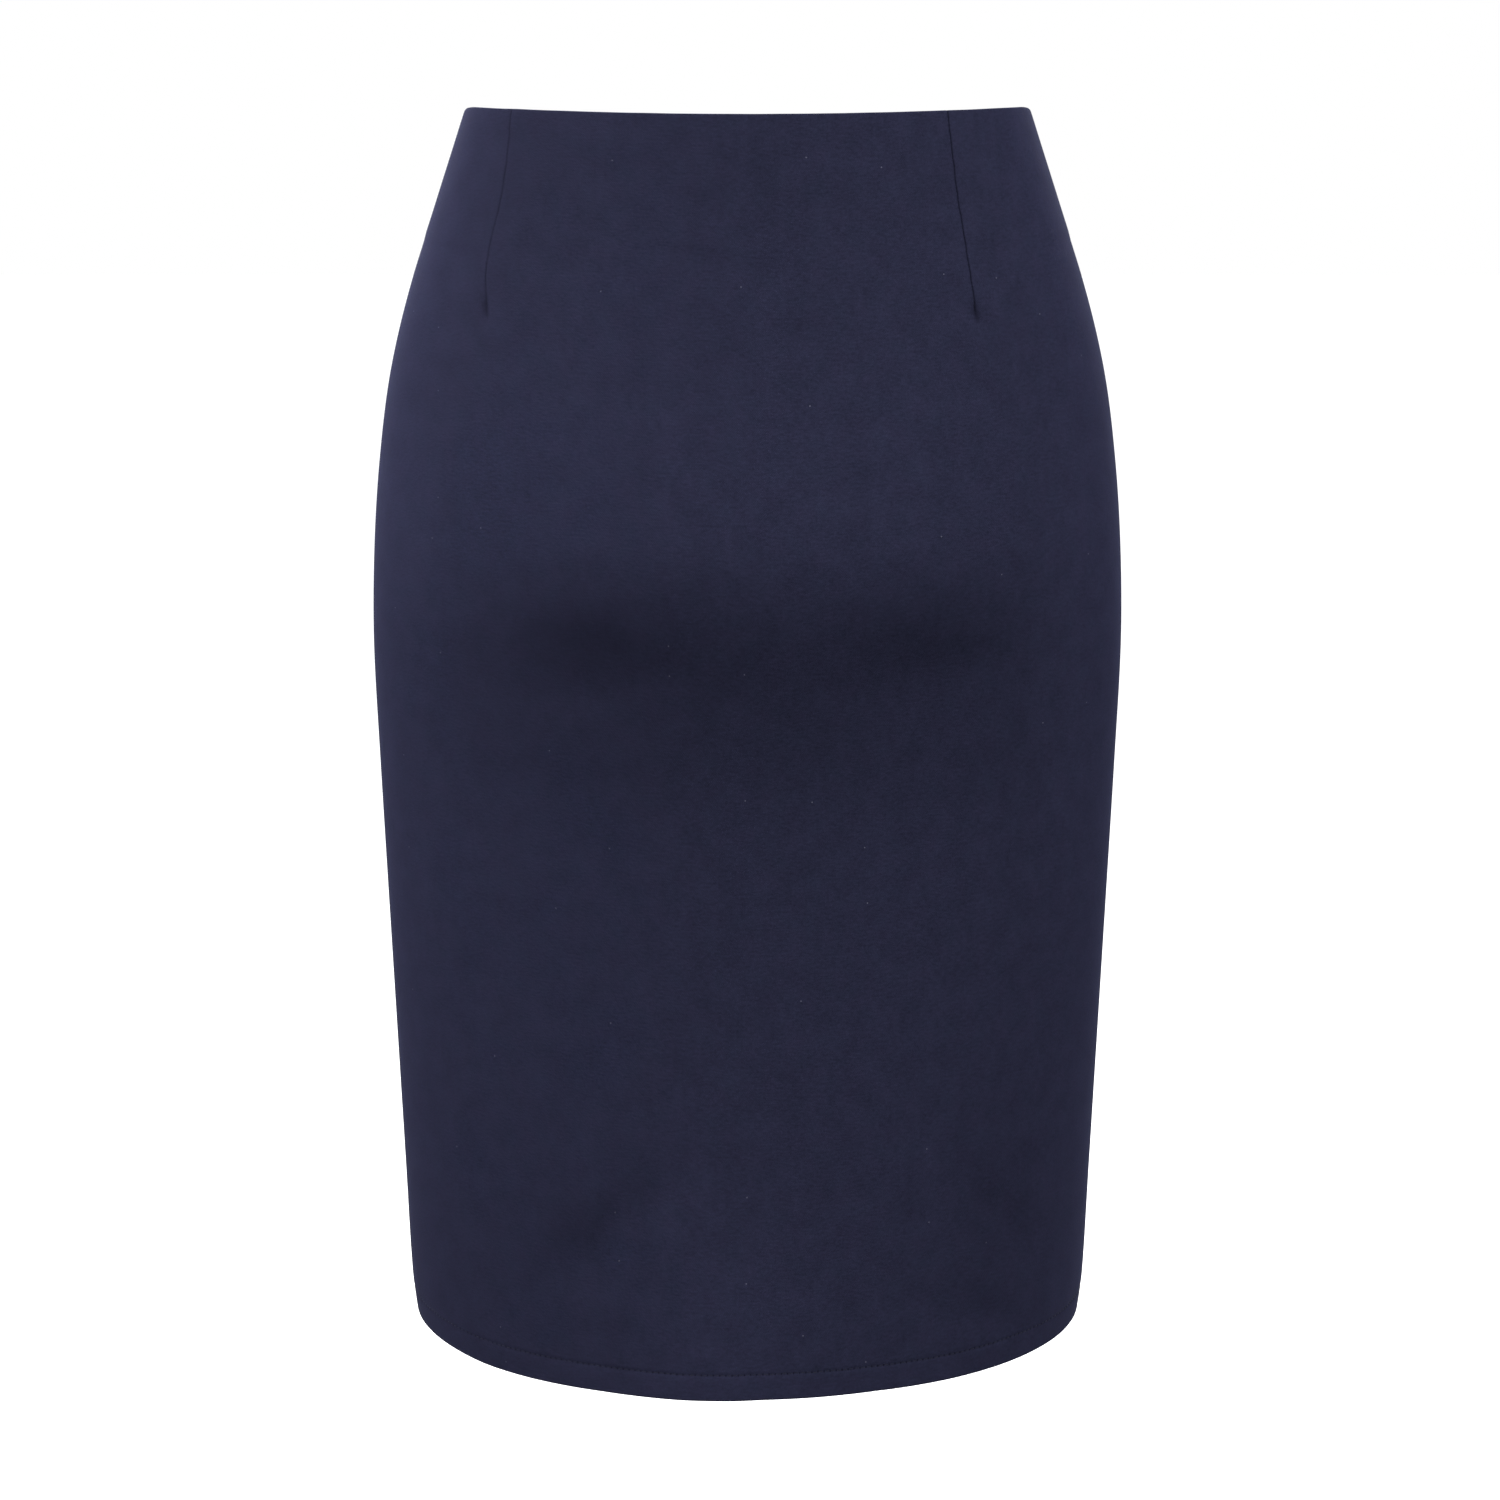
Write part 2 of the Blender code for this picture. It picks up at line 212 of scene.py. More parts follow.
# Spacing of the cloth's mesh, closer at edges, at sewn lines and round the slit
ROW_STEP = 3.2
COLUMN_STEP = 2.8
LINE_COLUMNS = (-2.6, -1.6, -1.0, -0.6, -0.3, 0.0, 0.3, 0.6, 1.0, 1.6, 2.6)
EDGE_COLUMNS = (0.0, 0.25, 0.55, 1.0, 1.7, 2.8, 4.4, 6.8, 9.6, 10.0, 10.4)
PANEL_ROWS = [0.0, CLOTH / 2, 1.3, 2.2, 2.7, 3.2, SLIT_TOP, SLIT_DROP, 9.5, 10.0, 10.5]
PANEL_ROWS += [54.0, 56.0, 58.0, 60.0, 63.0, 84.0, 87.0, 90.0, 92.0, 94.0, 96.0, 98.0, 101.0]
PANEL_ROWS += [STITCH_LINE + away for away in (-1.6, -0.8, -0.4, 0.0, 0.4, 0.8, 1.6)]
PANEL_ROWS += [LENGTH - up for up in (HEM_TURN, HEM_TURN - HEM_STEP, 4.0, 2.4, CLOTH, 0.0)]
FACING_ROWS = [0.2, 0.7, 2.0, 56.0, FACING_DEPTH]
TAPE_TOP = 5.0
TAPE_END = 190.0
TAPE_ROWS = [TAPE_TOP, SLIT_DROP, 10.5, TAPE_END]
EDGE_TURNS = [78.0, 58.0, 38.0, 18.0]
SHARP = 55.0
UV_NAME = "cloth"
INNER_FACE_AWAY = (1.0, 0.0)  # how far the inner face's UV stands from the outer's

# Stitches: their spacing and how far they sink, with the spread of their lean and place
STITCH_PITCH = 2.8
STITCH_SUNK = 0.06
STITCH_LEAN = 0.10
STITCH_STRAY = 0.07
STITCH_FROM_SEAM = 2.0
BIND_PITCH = 2.2
BIND_LENGTH = 3.6
BIND_LEAN = 0.12
BIND_STRAY = 0.05
BIND_FROM_SEAM = 1.5
BIND_PROUD = 0.05
BACK_FACING_START = 12.0

# The zip: tapes, coil, and where the pull's hinge stands on the back
TAPE_WIDTH = 11.7
TAPE_PART = 0.12
COIL_PITCH = 1.15
COIL_OUT = 0.75
COIL_PROUD = 0.45
COIL_LOOP = (1.7, 0.95, 0.42)  # its width, depth and wire
COIL_START = 5.0
COIL_END = 3.0
HINGE_DROP = 6.0
HINGE_OUT = 0.95

# The slider's block and ring, and the stop: width, depth and height
SLIDER = (5.2, 2.6, 8.5)
SLIDER_UP = -1.75
SLIDER_ROWS = ((0, 0.66), (1, 0.86), (3, 0.8))  # a row of its points, and how narrow the block is there
CHANNEL_RIM = 0.1
CHANNEL_SHARE = 0.62
PAD_RIM = 0.25
PAD_RISE = 0.3
RING_RADIUS = 1.35
RING_WIRE = 0.38
RING_SEAT = 1.3
STOP = (4.4, 2.4, 1.5)
STOP_UP = 2.2
STOP_PROUD = 0.3
STOP_RIM = 0.45
STOP_DISH = 0.25

# The pull: its eye, then the drops and widths that its tab grows through
EYE_WIDE = 3.6
EYE_HIGH = 4.1
EYE_MIDDLE = -1.5
EYE_WIRE = 0.9
PULL_THICK = 0.9
PULL_STEPS = (
    (4.6, 3.5), (6.0, 3.7), (8.0, 4.1), (10.0, 4.6), (12.0, 4.95), (13.5, 5.0), (14.5, 4.5), (15.2, 3.7),
    (15.7, 2.6), (15.95, 1.3),
)
DISH_START = -5.2
DISH_RIM = 0.7
DISH_DEPTH = 0.14
MERGE = 0.01

# The studio, in metres and watts
Light = namedtuple("Light", "name place width height power spread", defaults=[180.0])
LIGHTS = [
    Light("overhead", (0.0, -0.75, 2.8), 1.4, 0.5, 185.0),
    Light("top_right", (0.5, -0.55, 1.2), 0.5, 0.4, 33.0),
    Light("left_front", (-1.1, -0.9, 0.3), 0.4, 0.8, 25.0),
    Light("right_front", (1.1, -0.9, 0.3), 0.4, 0.8, 22.0),
    Light("under_front", (0.0, -0.6, -0.95), 0.8, 0.3, 2.7),
    Light("left_hip", (-1.2, -0.05, 0.35), 0.3, 0.4, 4.4, 60.0),
    Light("overhead_back", (0.0, 0.75, 2.8), 1.4, 0.5, 170.0),
    Light("top_back", (-0.4, 0.60, 1.2), 0.5, 0.4, 30.0),
    Light("left_back", (-0.8, 1.2, 0.3), 0.4, 0.8, 11.0),
    Light("right_back", (0.8, 1.2, 0.3), 0.4, 0.8, 11.0),
]
LIGHTS_AIM = Vector((0.0, 0.0, -0.25))
FLOOR_SIZE = 40.0
FLOOR_GREYS = (0.28, 0.31)
FLOOR_GLOW = 0.78
SENSOR_WIDTH = 36.0
SHIFT_X = 0.0017


# --- the cloth's form ---


def smooth(start, end, value):
    """0 at start, 1 at end, and a soft rise between."""
    part = np.clip((value - start) / (end - start), 0.0, 1.0)
    return part * part * (3 - 2 * part)


def size_at(column, drop):
    """One of the sections' sizes at any drop, on a smooth curve through the table."""
    drops = np.array([section.drop for section in SECTIONS])
    sizes = np.array([getattr(section, column) for section in SECTIONS])
    before = np.maximum(np.arange(len(drops)) - 1, 0)
    after = np.minimum(np.arange(len(drops)) + 1, len(drops) - 1)
    slopes = (sizes[after] - sizes[before]) / (drops[after] - drops[before])
    low = np.clip(np.searchsorted(drops, drop, side="right") - 1, 0, len(drops) - 2)
    high = low + 1
    span = drops[high] - drops[low]
    part = (drop - drops[low]) / span
    keep_low = (1 + 2 * part) * (1 - part) ** 2
    keep_high = part**2 * (3 - 2 * part)
    bend = span * part * (1 - part) * ((1 - part) * slopes[low] - part * slopes[high])
    return keep_low * sizes[low] + keep_high * sizes[high] + bend


def plain_skin(panel, angle, drop):
    """Points on the smooth outer face. The angle is 0 at the panel's middle and grows towards +X."""
    x = size_at("half_width", drop) * np.sin(angle)
    depth = size_at(panel + "_depth", drop) * np.cos(angle)
    down = drop / LENGTH
    dip = (WAIST_DIP[panel] * (1 - down) + HEM_DIP[panel] * down) * np.cos(angle) ** 2
    return np.stack([x, -depth if panel == "front" else depth, -drop - dip], -1)


def outward(panel, angle, drop):
    """The direction straight out of the cloth."""
    turn, fall = 0.002, 0.5
    across = plain_skin(panel, angle + turn, drop) - plain_skin(panel, angle - turn, drop)
    along = plain_skin(panel, angle, drop + fall) - plain_skin(panel, angle, drop - fall)
    normal = np.cross(along, across) if panel == "front" else np.cross(across, along)
    return normal / np.linalg.norm(normal, axis=-1, keepdims=True)


def radius_at(panel, angle, drop):
    """How far round the cloth runs for each unit of angle."""
    across = size_at("half_width", drop) * np.cos(angle)
    depth = size_at(panel + "_depth", drop) * np.sin(angle)
    return np.hypot(across, depth)


def hill(away, reach):
    """1 where away is 0, and a soft fall to 0 on both sides."""
    return np.exp(-((away / reach) ** 2))


def wander(place, waves):
    """A sum of slow waves."""
    return sum(height * np.sin(2 * pi * (place / length) + start) for length, height, start in waves)


def dart_angle(dart, drop):
    """Where a dart's line lies at a drop. Below its last station it runs straight down."""
    drops, places = zip(*dart.stations)
    drop = np.clip(drop, 0.0, drops[-1])
    place = np.interp(drop, drops, places) + wander(drop, DART_WAVES)
    return np.arcsin(place / size_at("half_width", drop))


def seam_angle(panel, drop):
    """The side seam's edge."""
    return np.arccos(TOUCH / size_at(panel + "_depth", drop))


def from_seam(panel, angle, drop):
    """How far along the level the side seam is."""
    return (seam_angle(panel, drop) - np.abs(angle)) * radius_at(panel, angle, drop)


def from_dart(dart, panel, angle, drop):
    """How far along the level a dart's line is, below zero on its -X side."""
    return (angle - dart_angle(dart, drop)) * radius_at(panel, angle, drop)


def middle_back_angle(x, drop):
    return np.arcsin(x / size_at("half_width", drop))


def slit_half(drop, closed):
    """Half of the back seam's opening."""
    parted = smooth(SLIT_TOP - SLIT_OPENS, SLIT_TOP, drop) * smooth(SLIT_DROP + SLIT_CLOSES, SLIT_DROP, drop)
    return closed + (SLIT - closed) * parted


def fold_depth(fold, x, drop):
    """A soft trough, or a ridge where its depth is below zero."""
    turn = radians(fold.turn)
    right = x - fold.x
    down = drop - fold.drop
    along = (right * np.cos(turn) + down * np.sin(turn)) / fold.along
    across = (down * np.cos(turn) - right * np.sin(turn)) / fold.across
    return fold.depth * np.exp(-(along**2 + across**2) / 2)


def dart_depth(dart, panel, angle, drop):
    """The sewn line's groove, the dimple at its tip, and the turned cloth on its outer side."""
    away = from_dart(dart, panel, angle, drop)
    left = np.clip((dart.length - drop) / dart.length, 0.0, 1.0)
    groove = dart.groove * smooth(0.0, 0.12, left) * np.exp(-np.abs(away) / dart.width)
    outer = np.maximum(away * np.sign(dart.stations[0][1]), 0.0)
    rise = (1 - np.exp(-outer / DART_TURN_NEAR)) * np.exp(-outer / DART_TURN_FAR)
    turned = dart.turn * smooth(0.0, 0.5, left) * rise
    below = (drop - dart.length - TIP_BELOW) / TIP_DOWN
    tip = TIP_DEPTH * np.exp(-((away / TIP_ACROSS) ** 2) - below**2)
    return groove + turned + tip * min(1.0, dart.groove + 0.4)


def sunk(panel, angle, drop):
    """How far the outer face lies inside its smooth form."""
    x = size_at("half_width", drop) * np.sin(angle)
    depth = sum(fold_depth(fold, x, drop) for fold in FOLDS[panel]) * (1 - np.sin(angle) ** 6)
    depth = depth + sum(dart_depth(dart, panel, angle, drop) for dart in DARTS[panel])
    tuck = TUCKS[panel]
    sinking = smooth(tuck.start, tuck.deepest, drop) * (1 - smooth(tuck.leave, tuck.end, drop))
    depth = depth + tuck.depth * sinking * np.cos(angle) ** 2
    # the facing's lower edge shows through as a soft step
    step = drop - FACING_DEPTH - wander(x, FACING_EDGE_WAVES)
    strength = 0.22 + wander(x, FACING_STEP_WAVES)
    depth = depth + strength * smooth(-2.5, 3.0, step) * (1 - smooth(4.0, 40.0, step))
    # the side seams turn in
    edge = from_seam(panel, angle, drop)
    depth = depth + 0.55 * np.exp(-edge / 0.8) + 0.25 * hill(edge, 5.0)
    # the hem's row of stitches pulls the cloth in, and the turned cloth puckers beside it
    line = drop - STITCH_LINE
    pucker = 0.1 + wander(x, PUCKER_WAVES)
    depth = depth + 0.3 * hill(line, 0.9) + pucker * np.exp(-np.abs(line) / 4.0)
    # the waist's edge rolls over its seam, and further at the sides
    depth = depth + (0.12 + wander(x, WAIST_WAVES)) * np.exp(-drop / 5.0)
    roll = 0.5 + 2.0 * smooth(30.0, 8.0, edge)
    above = np.maximum(roll - drop, 0.0)
    return depth + roll - np.sqrt(roll**2 - above**2)


def cloth_point(panel, angle, drop, inside):
    """Points a given distance inside the cloth's outer face, in metres."""
    depth = sunk(panel, angle, drop) + inside - NAP
    points = plain_skin(panel, angle, drop) - outward(panel, angle, drop) * depth[..., None]
    points[..., 2] += WAIST_LIFT * (1 - smooth(0.0, WAIST_LIFT_END, drop))
    if panel == "front":
        places, lifts = zip(*HEM_LIFT)
        points[..., 2] += np.interp(points[..., 0], places, lifts) * smooth(HEM_LIFT_START, LENGTH, drop)
    return points * MM


def panel_thickness(panel, angle, drop):
    """The cloth, doubled where the hem is turned up, with the seams' pressed-open edges on its inside."""
    turn = LENGTH - HEM_TURN
    below_facing = smooth(FACING_DEPTH + 1.0, FACING_DEPTH + 3.0, drop)
    edges = smooth(ALLOWANCE + ALLOWANCE_EDGE, ALLOWANCE, from_seam(panel, angle, drop)) * below_facing
    if panel == "back":
        away = np.abs(angle) * radius_at(panel, angle, drop)
        below_zip = smooth(TAPE_END + 2.0, TAPE_END + 4.0, drop)
        edges = np.maximum(edges, smooth(ALLOWANCE + ALLOWANCE_EDGE, ALLOWANCE, away) * below_zip)
    return CLOTH + np.maximum(CLOTH * smooth(turn, turn + HEM_STEP, drop), ALLOWANCE_RISE * edges)


def even_thickness(thickness):
    return lambda panel, angle, drop: thickness


def painted_crease_shade_at(panel, angle, drop):
    """1 where painted shade darkens the cloth at a sewn line: along the side seams, along each dart and in
    the dimple at its tip.
    """
    made = 0.7 * np.exp(-from_seam(panel, angle, drop) / 0.7)
    for dart in DARTS[panel]:
        away = from_dart(dart, panel, angle, drop)
        fade = smooth(0.0, 3.0, dart.length - drop)
        # painted shade along the dart's line, and in the dimple at its tip
        made = made + min(1.0, dart.groove * 1.5) * fade * hill(away, 0.45)
        made = made + 0.6 * np.exp(-((away / 1.5) ** 2) - ((drop - dart.length) / 3.6) ** 2)
    return np.clip(made, 0.0, 1.0)


def painted_light_at(panel, angle, drop):
    """Painted light and shade for the knit's colour: above 0 where painted light lies over the hips, and
    below 0 where painted shade lies below their fullest level and at the waist, where the facing doubles the
    cloth.
    """
    x = size_at("half_width", drop) * np.sin(angle)
    # a band of painted light over the hips, a band of painted shade below their fullest level, and painted
    # shade at the waist where the facing doubles the cloth
    hip_light_band = smooth(70.0, 140.0, drop) * smooth(205.0, 180.0, drop)
    painted_shading = smooth(205.0, 245.0, drop) * smooth(330.0, 260.0, drop)
    doubled = PAINTED_WAIST_SHADE * smooth(80.0, 20.0, drop)
    stretch = (PAINTED_HIP_LIGHT * hip_light_band - PAINTED_SHADE_BELOW_HIPS * painted_shading - doubled) * np.cos(angle) ** 2
    # soft patches of painted light and painted shade
    for painted_patch in PAINTED_PATCHES[panel]:
        away = ((x - painted_patch.x) / painted_patch.across) ** 2 + ((drop - painted_patch.drop) / painted_patch.down) ** 2
        stretch = stretch + painted_patch.stretch * np.exp(-away)
    return stretch


# --- lengths along the cloth ---


def level_table(panel, drop, count):
    """Angles across a panel's level, the length along it to each, and the length to the panel's middle."""
    angles = np.linspace(-pi / 2, pi / 2, count)
    radii = radius_at(panel, angles, np.full_like(angles, drop))
    runs = np.concatenate([[0.0], np.cumsum((radii[1:] + radii[:-1]) / 2 * np.diff(angles))])
    return angles, runs, np.interp(0.0, angles, runs)


def flat_places(panel, angle, drop):
    """Each point's place on the flat cloth in metres: along the level from the middle, and down."""
    flat = np.empty_like(angle)
    for row, level in enumerate(drop[:, 0]):
        angles, runs, middle = level_table(panel, level, 721)
        flat[row] = np.interp(angle[row], angles, runs - middle)
    return np.stack([flat, np.broadcast_to(drop, angle.shape)], -1) * MM


def place_at(panel, run, drop):
    """The angle that lies a given length along the level from the panel's middle."""
    angles, runs, middle = level_table(panel, drop, 1441)
    return np.interp(run + middle, runs, angles)


def level_run(panel, drop):
    """Half the length of a panel's level, from its middle to the side seam."""
    angles = np.linspace(0.0, pi / 2, 721)
    radii = radius_at(panel, (angles[1:] + angles[:-1]) / 2, np.full(720, drop))
    return float(np.sum(radii * np.diff(angles)))


# --- rows and columns ---


def filled(anchors, step=ROW_STEP):
    """Places from the first anchor to the last, with no wider spacing than the step."""
    places = []
    for start, end in zip(anchors, anchors[1:]):
        count = max(1, int(np.ceil((end - start) / step - 1e-6)))
        places += [start + (end - start) * at / count for at in range(count)]
    return places + [anchors[-1]]


def rounded_rows(rows, top_half, bottom_half):
    """Rows with their edge rounding: each has a drop and how far both faces close in on the middle."""
    turns = np.radians(EDGE_TURNS)
    start, end = rows[0], rows[-1]
    made = [(start + top_half * (1 - np.sin(turn)), top_half * (1 - np.cos(turn))) for turn in turns]
    made += [(drop, 0.0) for drop in rows if start + top_half <= drop <= end - bottom_half]
    for turn in turns[::-1]:
        made.append((end - bottom_half * (1 - np.sin(turn)), bottom_half * (1 - np.cos(turn))))
    return np.array(made).T


def columns(panel, drop, start, end):
    """Angles from a start to an end at each drop, close together at the two edges and at each dart."""
    low, high = min(start[0], end[0]), max(start[0], end[0])
    lines = [dart_angle(dart, drop) for dart in DARTS[panel]]
    marks = [start] + [line for line in lines if low < line[0] < high] + [end]
    marks = sorted(marks, key=lambda mark: mark[0])
    offsets = [np.array(LINE_COLUMNS)] * len(marks)
    offsets[0] = np.array(EDGE_COLUMNS)
    offsets[-1] = -np.array(EDGE_COLUMNS[::-1])
    clusters = [
        mark[:, None] + offset / radius_at(panel, mark, drop)[:, None] for mark, offset in zip(marks, offsets)
    ]
    angles = [clusters[0]]
    for before, after in zip(clusters, clusters[1:]):
        widest = np.max((after[:, 0] - before[:, -1]) * radius_at(panel, before[:, -1], drop))
        count = max(1, int(np.ceil(widest / COLUMN_STEP)))
        share = np.arange(1, count) / count
        angles.append(before[:, -1:] + (after[:, :1] - before[:, -1:]) * share)
        angles.append(after)
    return np.concatenate(angles, axis=1)


def cloth_piece(name, panel, angle, rows, near, thickness, finish):
    """A closed sheet of cloth between its two faces, with its flat places as its UV map."""
    drop, closing = (column[:, None] for column in rows)
    drop = np.broadcast_to(drop, angle.shape)
    outer = cloth_point(panel, angle, drop, near + closing)
    inner = cloth_point(panel, angle, drop, near + thickness(panel, angle, drop) - closing)
    count = angle.size
    index = np.arange(count).reshape(angle.shape)
    face = np.stack([index[:-1, :-1], index[1:, :-1], index[1:, 1:], index[:-1, 1:]], -1).reshape(-1, 4)
    rim = np.concatenate([index[0], index[1:, -1], index[-1, -2::-1], index[-2:0:-1, 0]])
    ahead = np.roll(rim, -1)
    edge = np.stack([ahead, rim, rim + count, ahead + count], -1)
    faces = np.concatenate([face, face[:, ::-1] + count, edge])
    if (angle[0, -1] > angle[0, 0]) != (panel == "front"):
        faces = faces[:, ::-1]
    mesh = bpy.data.meshes.new(name)
    points = np.concatenate([outer.reshape(-1, 3), inner.reshape(-1, 3)])
    mesh.from_pydata(points.tolist(), [], faces.tolist())
    flat = flat_places(panel, angle, drop).reshape(-1, 2)
    flat = np.concatenate([flat, flat + INNER_FACE_AWAY])
    layer = mesh.uv_layers.new(name=UV_NAME)
    corners = np.empty(len(mesh.loops), np.int32)
    mesh.loops.foreach_get("vertex_index", corners)
    layer.uv.foreach_set("vector", flat[corners].astype(np.float32).ravel())
    # attributes that paint shade into the sewn lines, and light and shade over the hips and by the folds
    for label, shading in (("crease", painted_crease_shade_at), ("stretch", painted_light_at)):
        values = np.concatenate([shading(panel, angle, drop).ravel(), np.zeros(count)]).astype(np.float32)
        mesh.attributes.new(label, "FLOAT", "POINT").data.foreach_set("value", values)
    mesh.shade_smooth()
    mesh.set_sharp_from_angle(angle=radians(SHARP))
    return shown(name, mesh, finish)


def shown(name, mesh, finish):
    """A piece in the scene made of a mesh, with its finish."""
    mesh.materials.append(finish)
    piece = bpy.data.objects.new(name, mesh)
    bpy.context.scene.collection.objects.link(piece)
    return piece


# --- thread and coil, modelled once and copied ---


def unit(vectors):
    return vectors / np.linalg.norm(vectors, axis=-1, keepdims=True)


def frames_on(panel, runs, drops, inside, leans=0.0):
    """Places on a face of the cloth, each with its directions along the level, down and out of the cloth."""
    angle = np.array([place_at(panel, run, drop) for run, drop in zip(runs, drops)])
    turn, fall = 0.004, 0.3
    here = cloth_point(panel, angle, drops, inside)
    ahead = cloth_point(panel, angle + turn, drops, inside)
    along = unit(ahead - cloth_point(panel, angle - turn, drops, inside))
    below = cloth_point(panel, angle, drops + fall, inside)
    down = unit(below - cloth_point(panel, angle, drops - fall, inside))
    out = np.cross(down, along) if panel == "front" else np.cross(along, down)
    leans = np.broadcast_to(leans, runs.shape)[:, None]
    turned = unit(along * np.cos(leans) + down * np.sin(leans))
    return here, np.stack([turned, np.cross(out, turned), out], 1)


def deselect():
    bpy.ops.object.select_all(action="DESELECT")


def start_editing():
    bpy.ops.object.mode_set(mode="EDIT")
    bpy.ops.mesh.select_all(action="SELECT")


def stop_editing():
    bpy.ops.object.mode_set(mode="OBJECT")
    return bpy.context.object


def stretched(*shares, centre=(0, 0, 0)):
    """Makes the selection larger or smaller along each axis."""
    bpy.ops.transform.resize(value=shares, center_override=centre)


def one_stitch(length, width):
    """A short thread that lies along X, plump in its middle."""
    deselect()
    bpy.ops.mesh.primitive_uv_sphere_add(segments=6, ring_count=5, radius=MM / 2)
    start_editing()
    bpy.ops.transform.rotate(value=pi / 2, orient_axis="Y", center_override=(0, 0, 0))
    stretched(length, width, width)
    return stop_editing()


def one_loop(wide, deep, wire):
    """One oval turn of the zip's coil, whose axis lies along Y."""
    deselect()
    bpy.ops.mesh.primitive_torus_add(
        major_radius=wide / 2 * MM, minor_radius=wire / 2 * MM, major_segments=10, minor_segments=5
    )
    start_editing()
    bpy.ops.transform.rotate(value=pi / 2, orient_axis="X", center_override=(0, 0, 0))
    stretched(1.0, 1.0, deep / wide)
    return stop_editing()


def copied(name, pattern, frames, finish):
    """One mesh with a copy of the pattern at each frame. The pattern itself is removed."""
    places, axes = frames
    shape = np.array([vert.co for vert in pattern.data.vertices])
    faces = [tuple(face.vertices) for face in pattern.data.polygons]
    points = np.concatenate([shape @ axis + place for place, axis in zip(places, axes)])
    size = len(shape)
    all_faces = [tuple(at + copy * size for at in face) for copy in range(len(places)) for face in faces]
    mesh = bpy.data.meshes.new(name)
    mesh.from_pydata(points.tolist(), [], all_faces)
    mesh.shade_smooth()
    bpy.data.objects.remove(pattern)
    return shown(name, mesh, finish)


# --- what the cloth is cut to ---


def cut_to(panel, share, last, bottom, seams, intake=0.0, tip=1.0):
    """A piece's flat size and area in metres, from the waist to a drop, with its seams, hem and darts."""
    drops = np.linspace(0.0, last, 60)
    widths = np.array([2 * share * level_run(panel, drop) for drop in drops])
    widths += seams + intake * np.clip(1 - drops / tip, 0.0, 1.0)
    middle = plain_skin(panel, np.zeros(200), np.linspace(0.0, last, 200))
    length = float(np.sum(np.linalg.norm(np.diff(middle, axis=0), axis=-1)))
    area = float(np.mean(widths)) * length + widths[0] * TOP_SEAM + widths[-1] * bottom
    flat = (float(max(widths)) * MM, (length + TOP_SEAM + bottom) * MM)
    return {"flat": flat, "area": float(area) * MM**2}


def declare_cloth():
    """Works out the flat size and area that each panel and facing was cut to, and does nothing more with
    them.
    """
    seams = 2 * ALLOWANCE
    front = cut_to("front", 1.0, LENGTH, HEM_TURN, seams, 2 * DART_INTAKE, FRONT_DART_CUT)
    front_facing = cut_to("front", 1.0, FACING_DEPTH, 0.0, seams)
    half = cut_to("back", 0.5, LENGTH, HEM_TURN, seams, DART_INTAKE, BACK_DART)
    half_facing = cut_to("back", 0.5, FACING_DEPTH, 0.0, ALLOWANCE)


# --- finishes ---


class Value:
    """A shader socket that takes part in sums written in Python."""

    def __init__(self, finish, socket):
        self.finish = finish
        self.socket = socket

    def __add__(self, other):
        return self.finish.sum("ADD", self, other)

    __radd__ = __add__

    def __sub__(self, other):
        return self.finish.sum("SUBTRACT", self, other)

    def __rsub__(self, other):
        return self.finish.sum("SUBTRACT", other, self)

    def __mul__(self, other):
        return self.finish.sum("MULTIPLY", self, other)

    __rmul__ = __mul__


class Finish:
    """A material made of nodes round one Principled shader."""

    def __init__(self, name):
        self.material = bpy.data.materials.new(name)
        self.material.use_nodes = True
        self.tree = self.material.node_tree
        self.shader = self.tree.nodes["Principled BSDF"]

    def feed(self, socket, given):
        if isinstance(given, Value):
            self.tree.links.new(given.socket, socket)
        else:
            socket.default_value = given

    def node(self, kind, settings=None, inputs=None, output=0):
        """A node of a type, with its settings made first and its sockets set or linked."""
        made = self.tree.nodes.new("ShaderNode" + kind)
        for name, setting in (settings or {}).items():
            setattr(made, name, setting)
        for name, given in (inputs or {}).items():
            self.feed(made.inputs[name], given)
        return Value(self, made.outputs[output])

    def sum(self, operation, first, second=0.0):
        return self.node("Math", {"operation": operation}, {0: first, 1: second})

    def mix(self, share, first, second):
        return self.node("Mix", {"data_type": "RGBA"}, {0: share, 6: first, 7: second}, 2)

    def scaled(self, given, by):
        """A colour or a place times a number."""
        given = given if isinstance(given, Value) else tuple(given)
        return self.node("VectorMath", {"operation": "SCALE"}, {0: given, "Scale": by})

    def noise(self, place, scale, detail=2.0, roughness=0.5, dimensions="2D"):
        inputs = {"Vector": place, "Scale": scale, "Detail": detail, "Roughness": roughness}
        return self.node("TexNoise", {"noise_dimensions": dimensions}, inputs)

    def bump(self, height, distance, strength):
        return self.node("Bump", None, {"Height": height, "Distance": distance * MM, "Strength": strength})

    def cloth_places(self):
        """Places on the flat cloth in millimetres, with their parts across and down it."""
        place = self.scaled(self.node("UVMap", {"uv_map": UV_NAME}), 1 / MM)
        return place, *(self.node("SeparateXYZ", None, {0: place}, part) for part in (0, 1))

    def solid_places(self):
        """Places in the piece in millimetres."""
        return self.scaled(self.node("TexCoord", None, None, 3), 1 / MM)

    def attribute(self, name):
        return self.node("Attribute", {"attribute_name": name}, None, 2)

    def set(self, **given):
        """Sockets of the shader by name, with _ for a space."""
        for name, value in given.items():
            self.feed(self.shader.inputs[name.replace("_", " ")], value)
        return self.material


def shade(colour):
    return (*colour, 1.0)


def grey(level):
    return (level, level, level, 1.0)


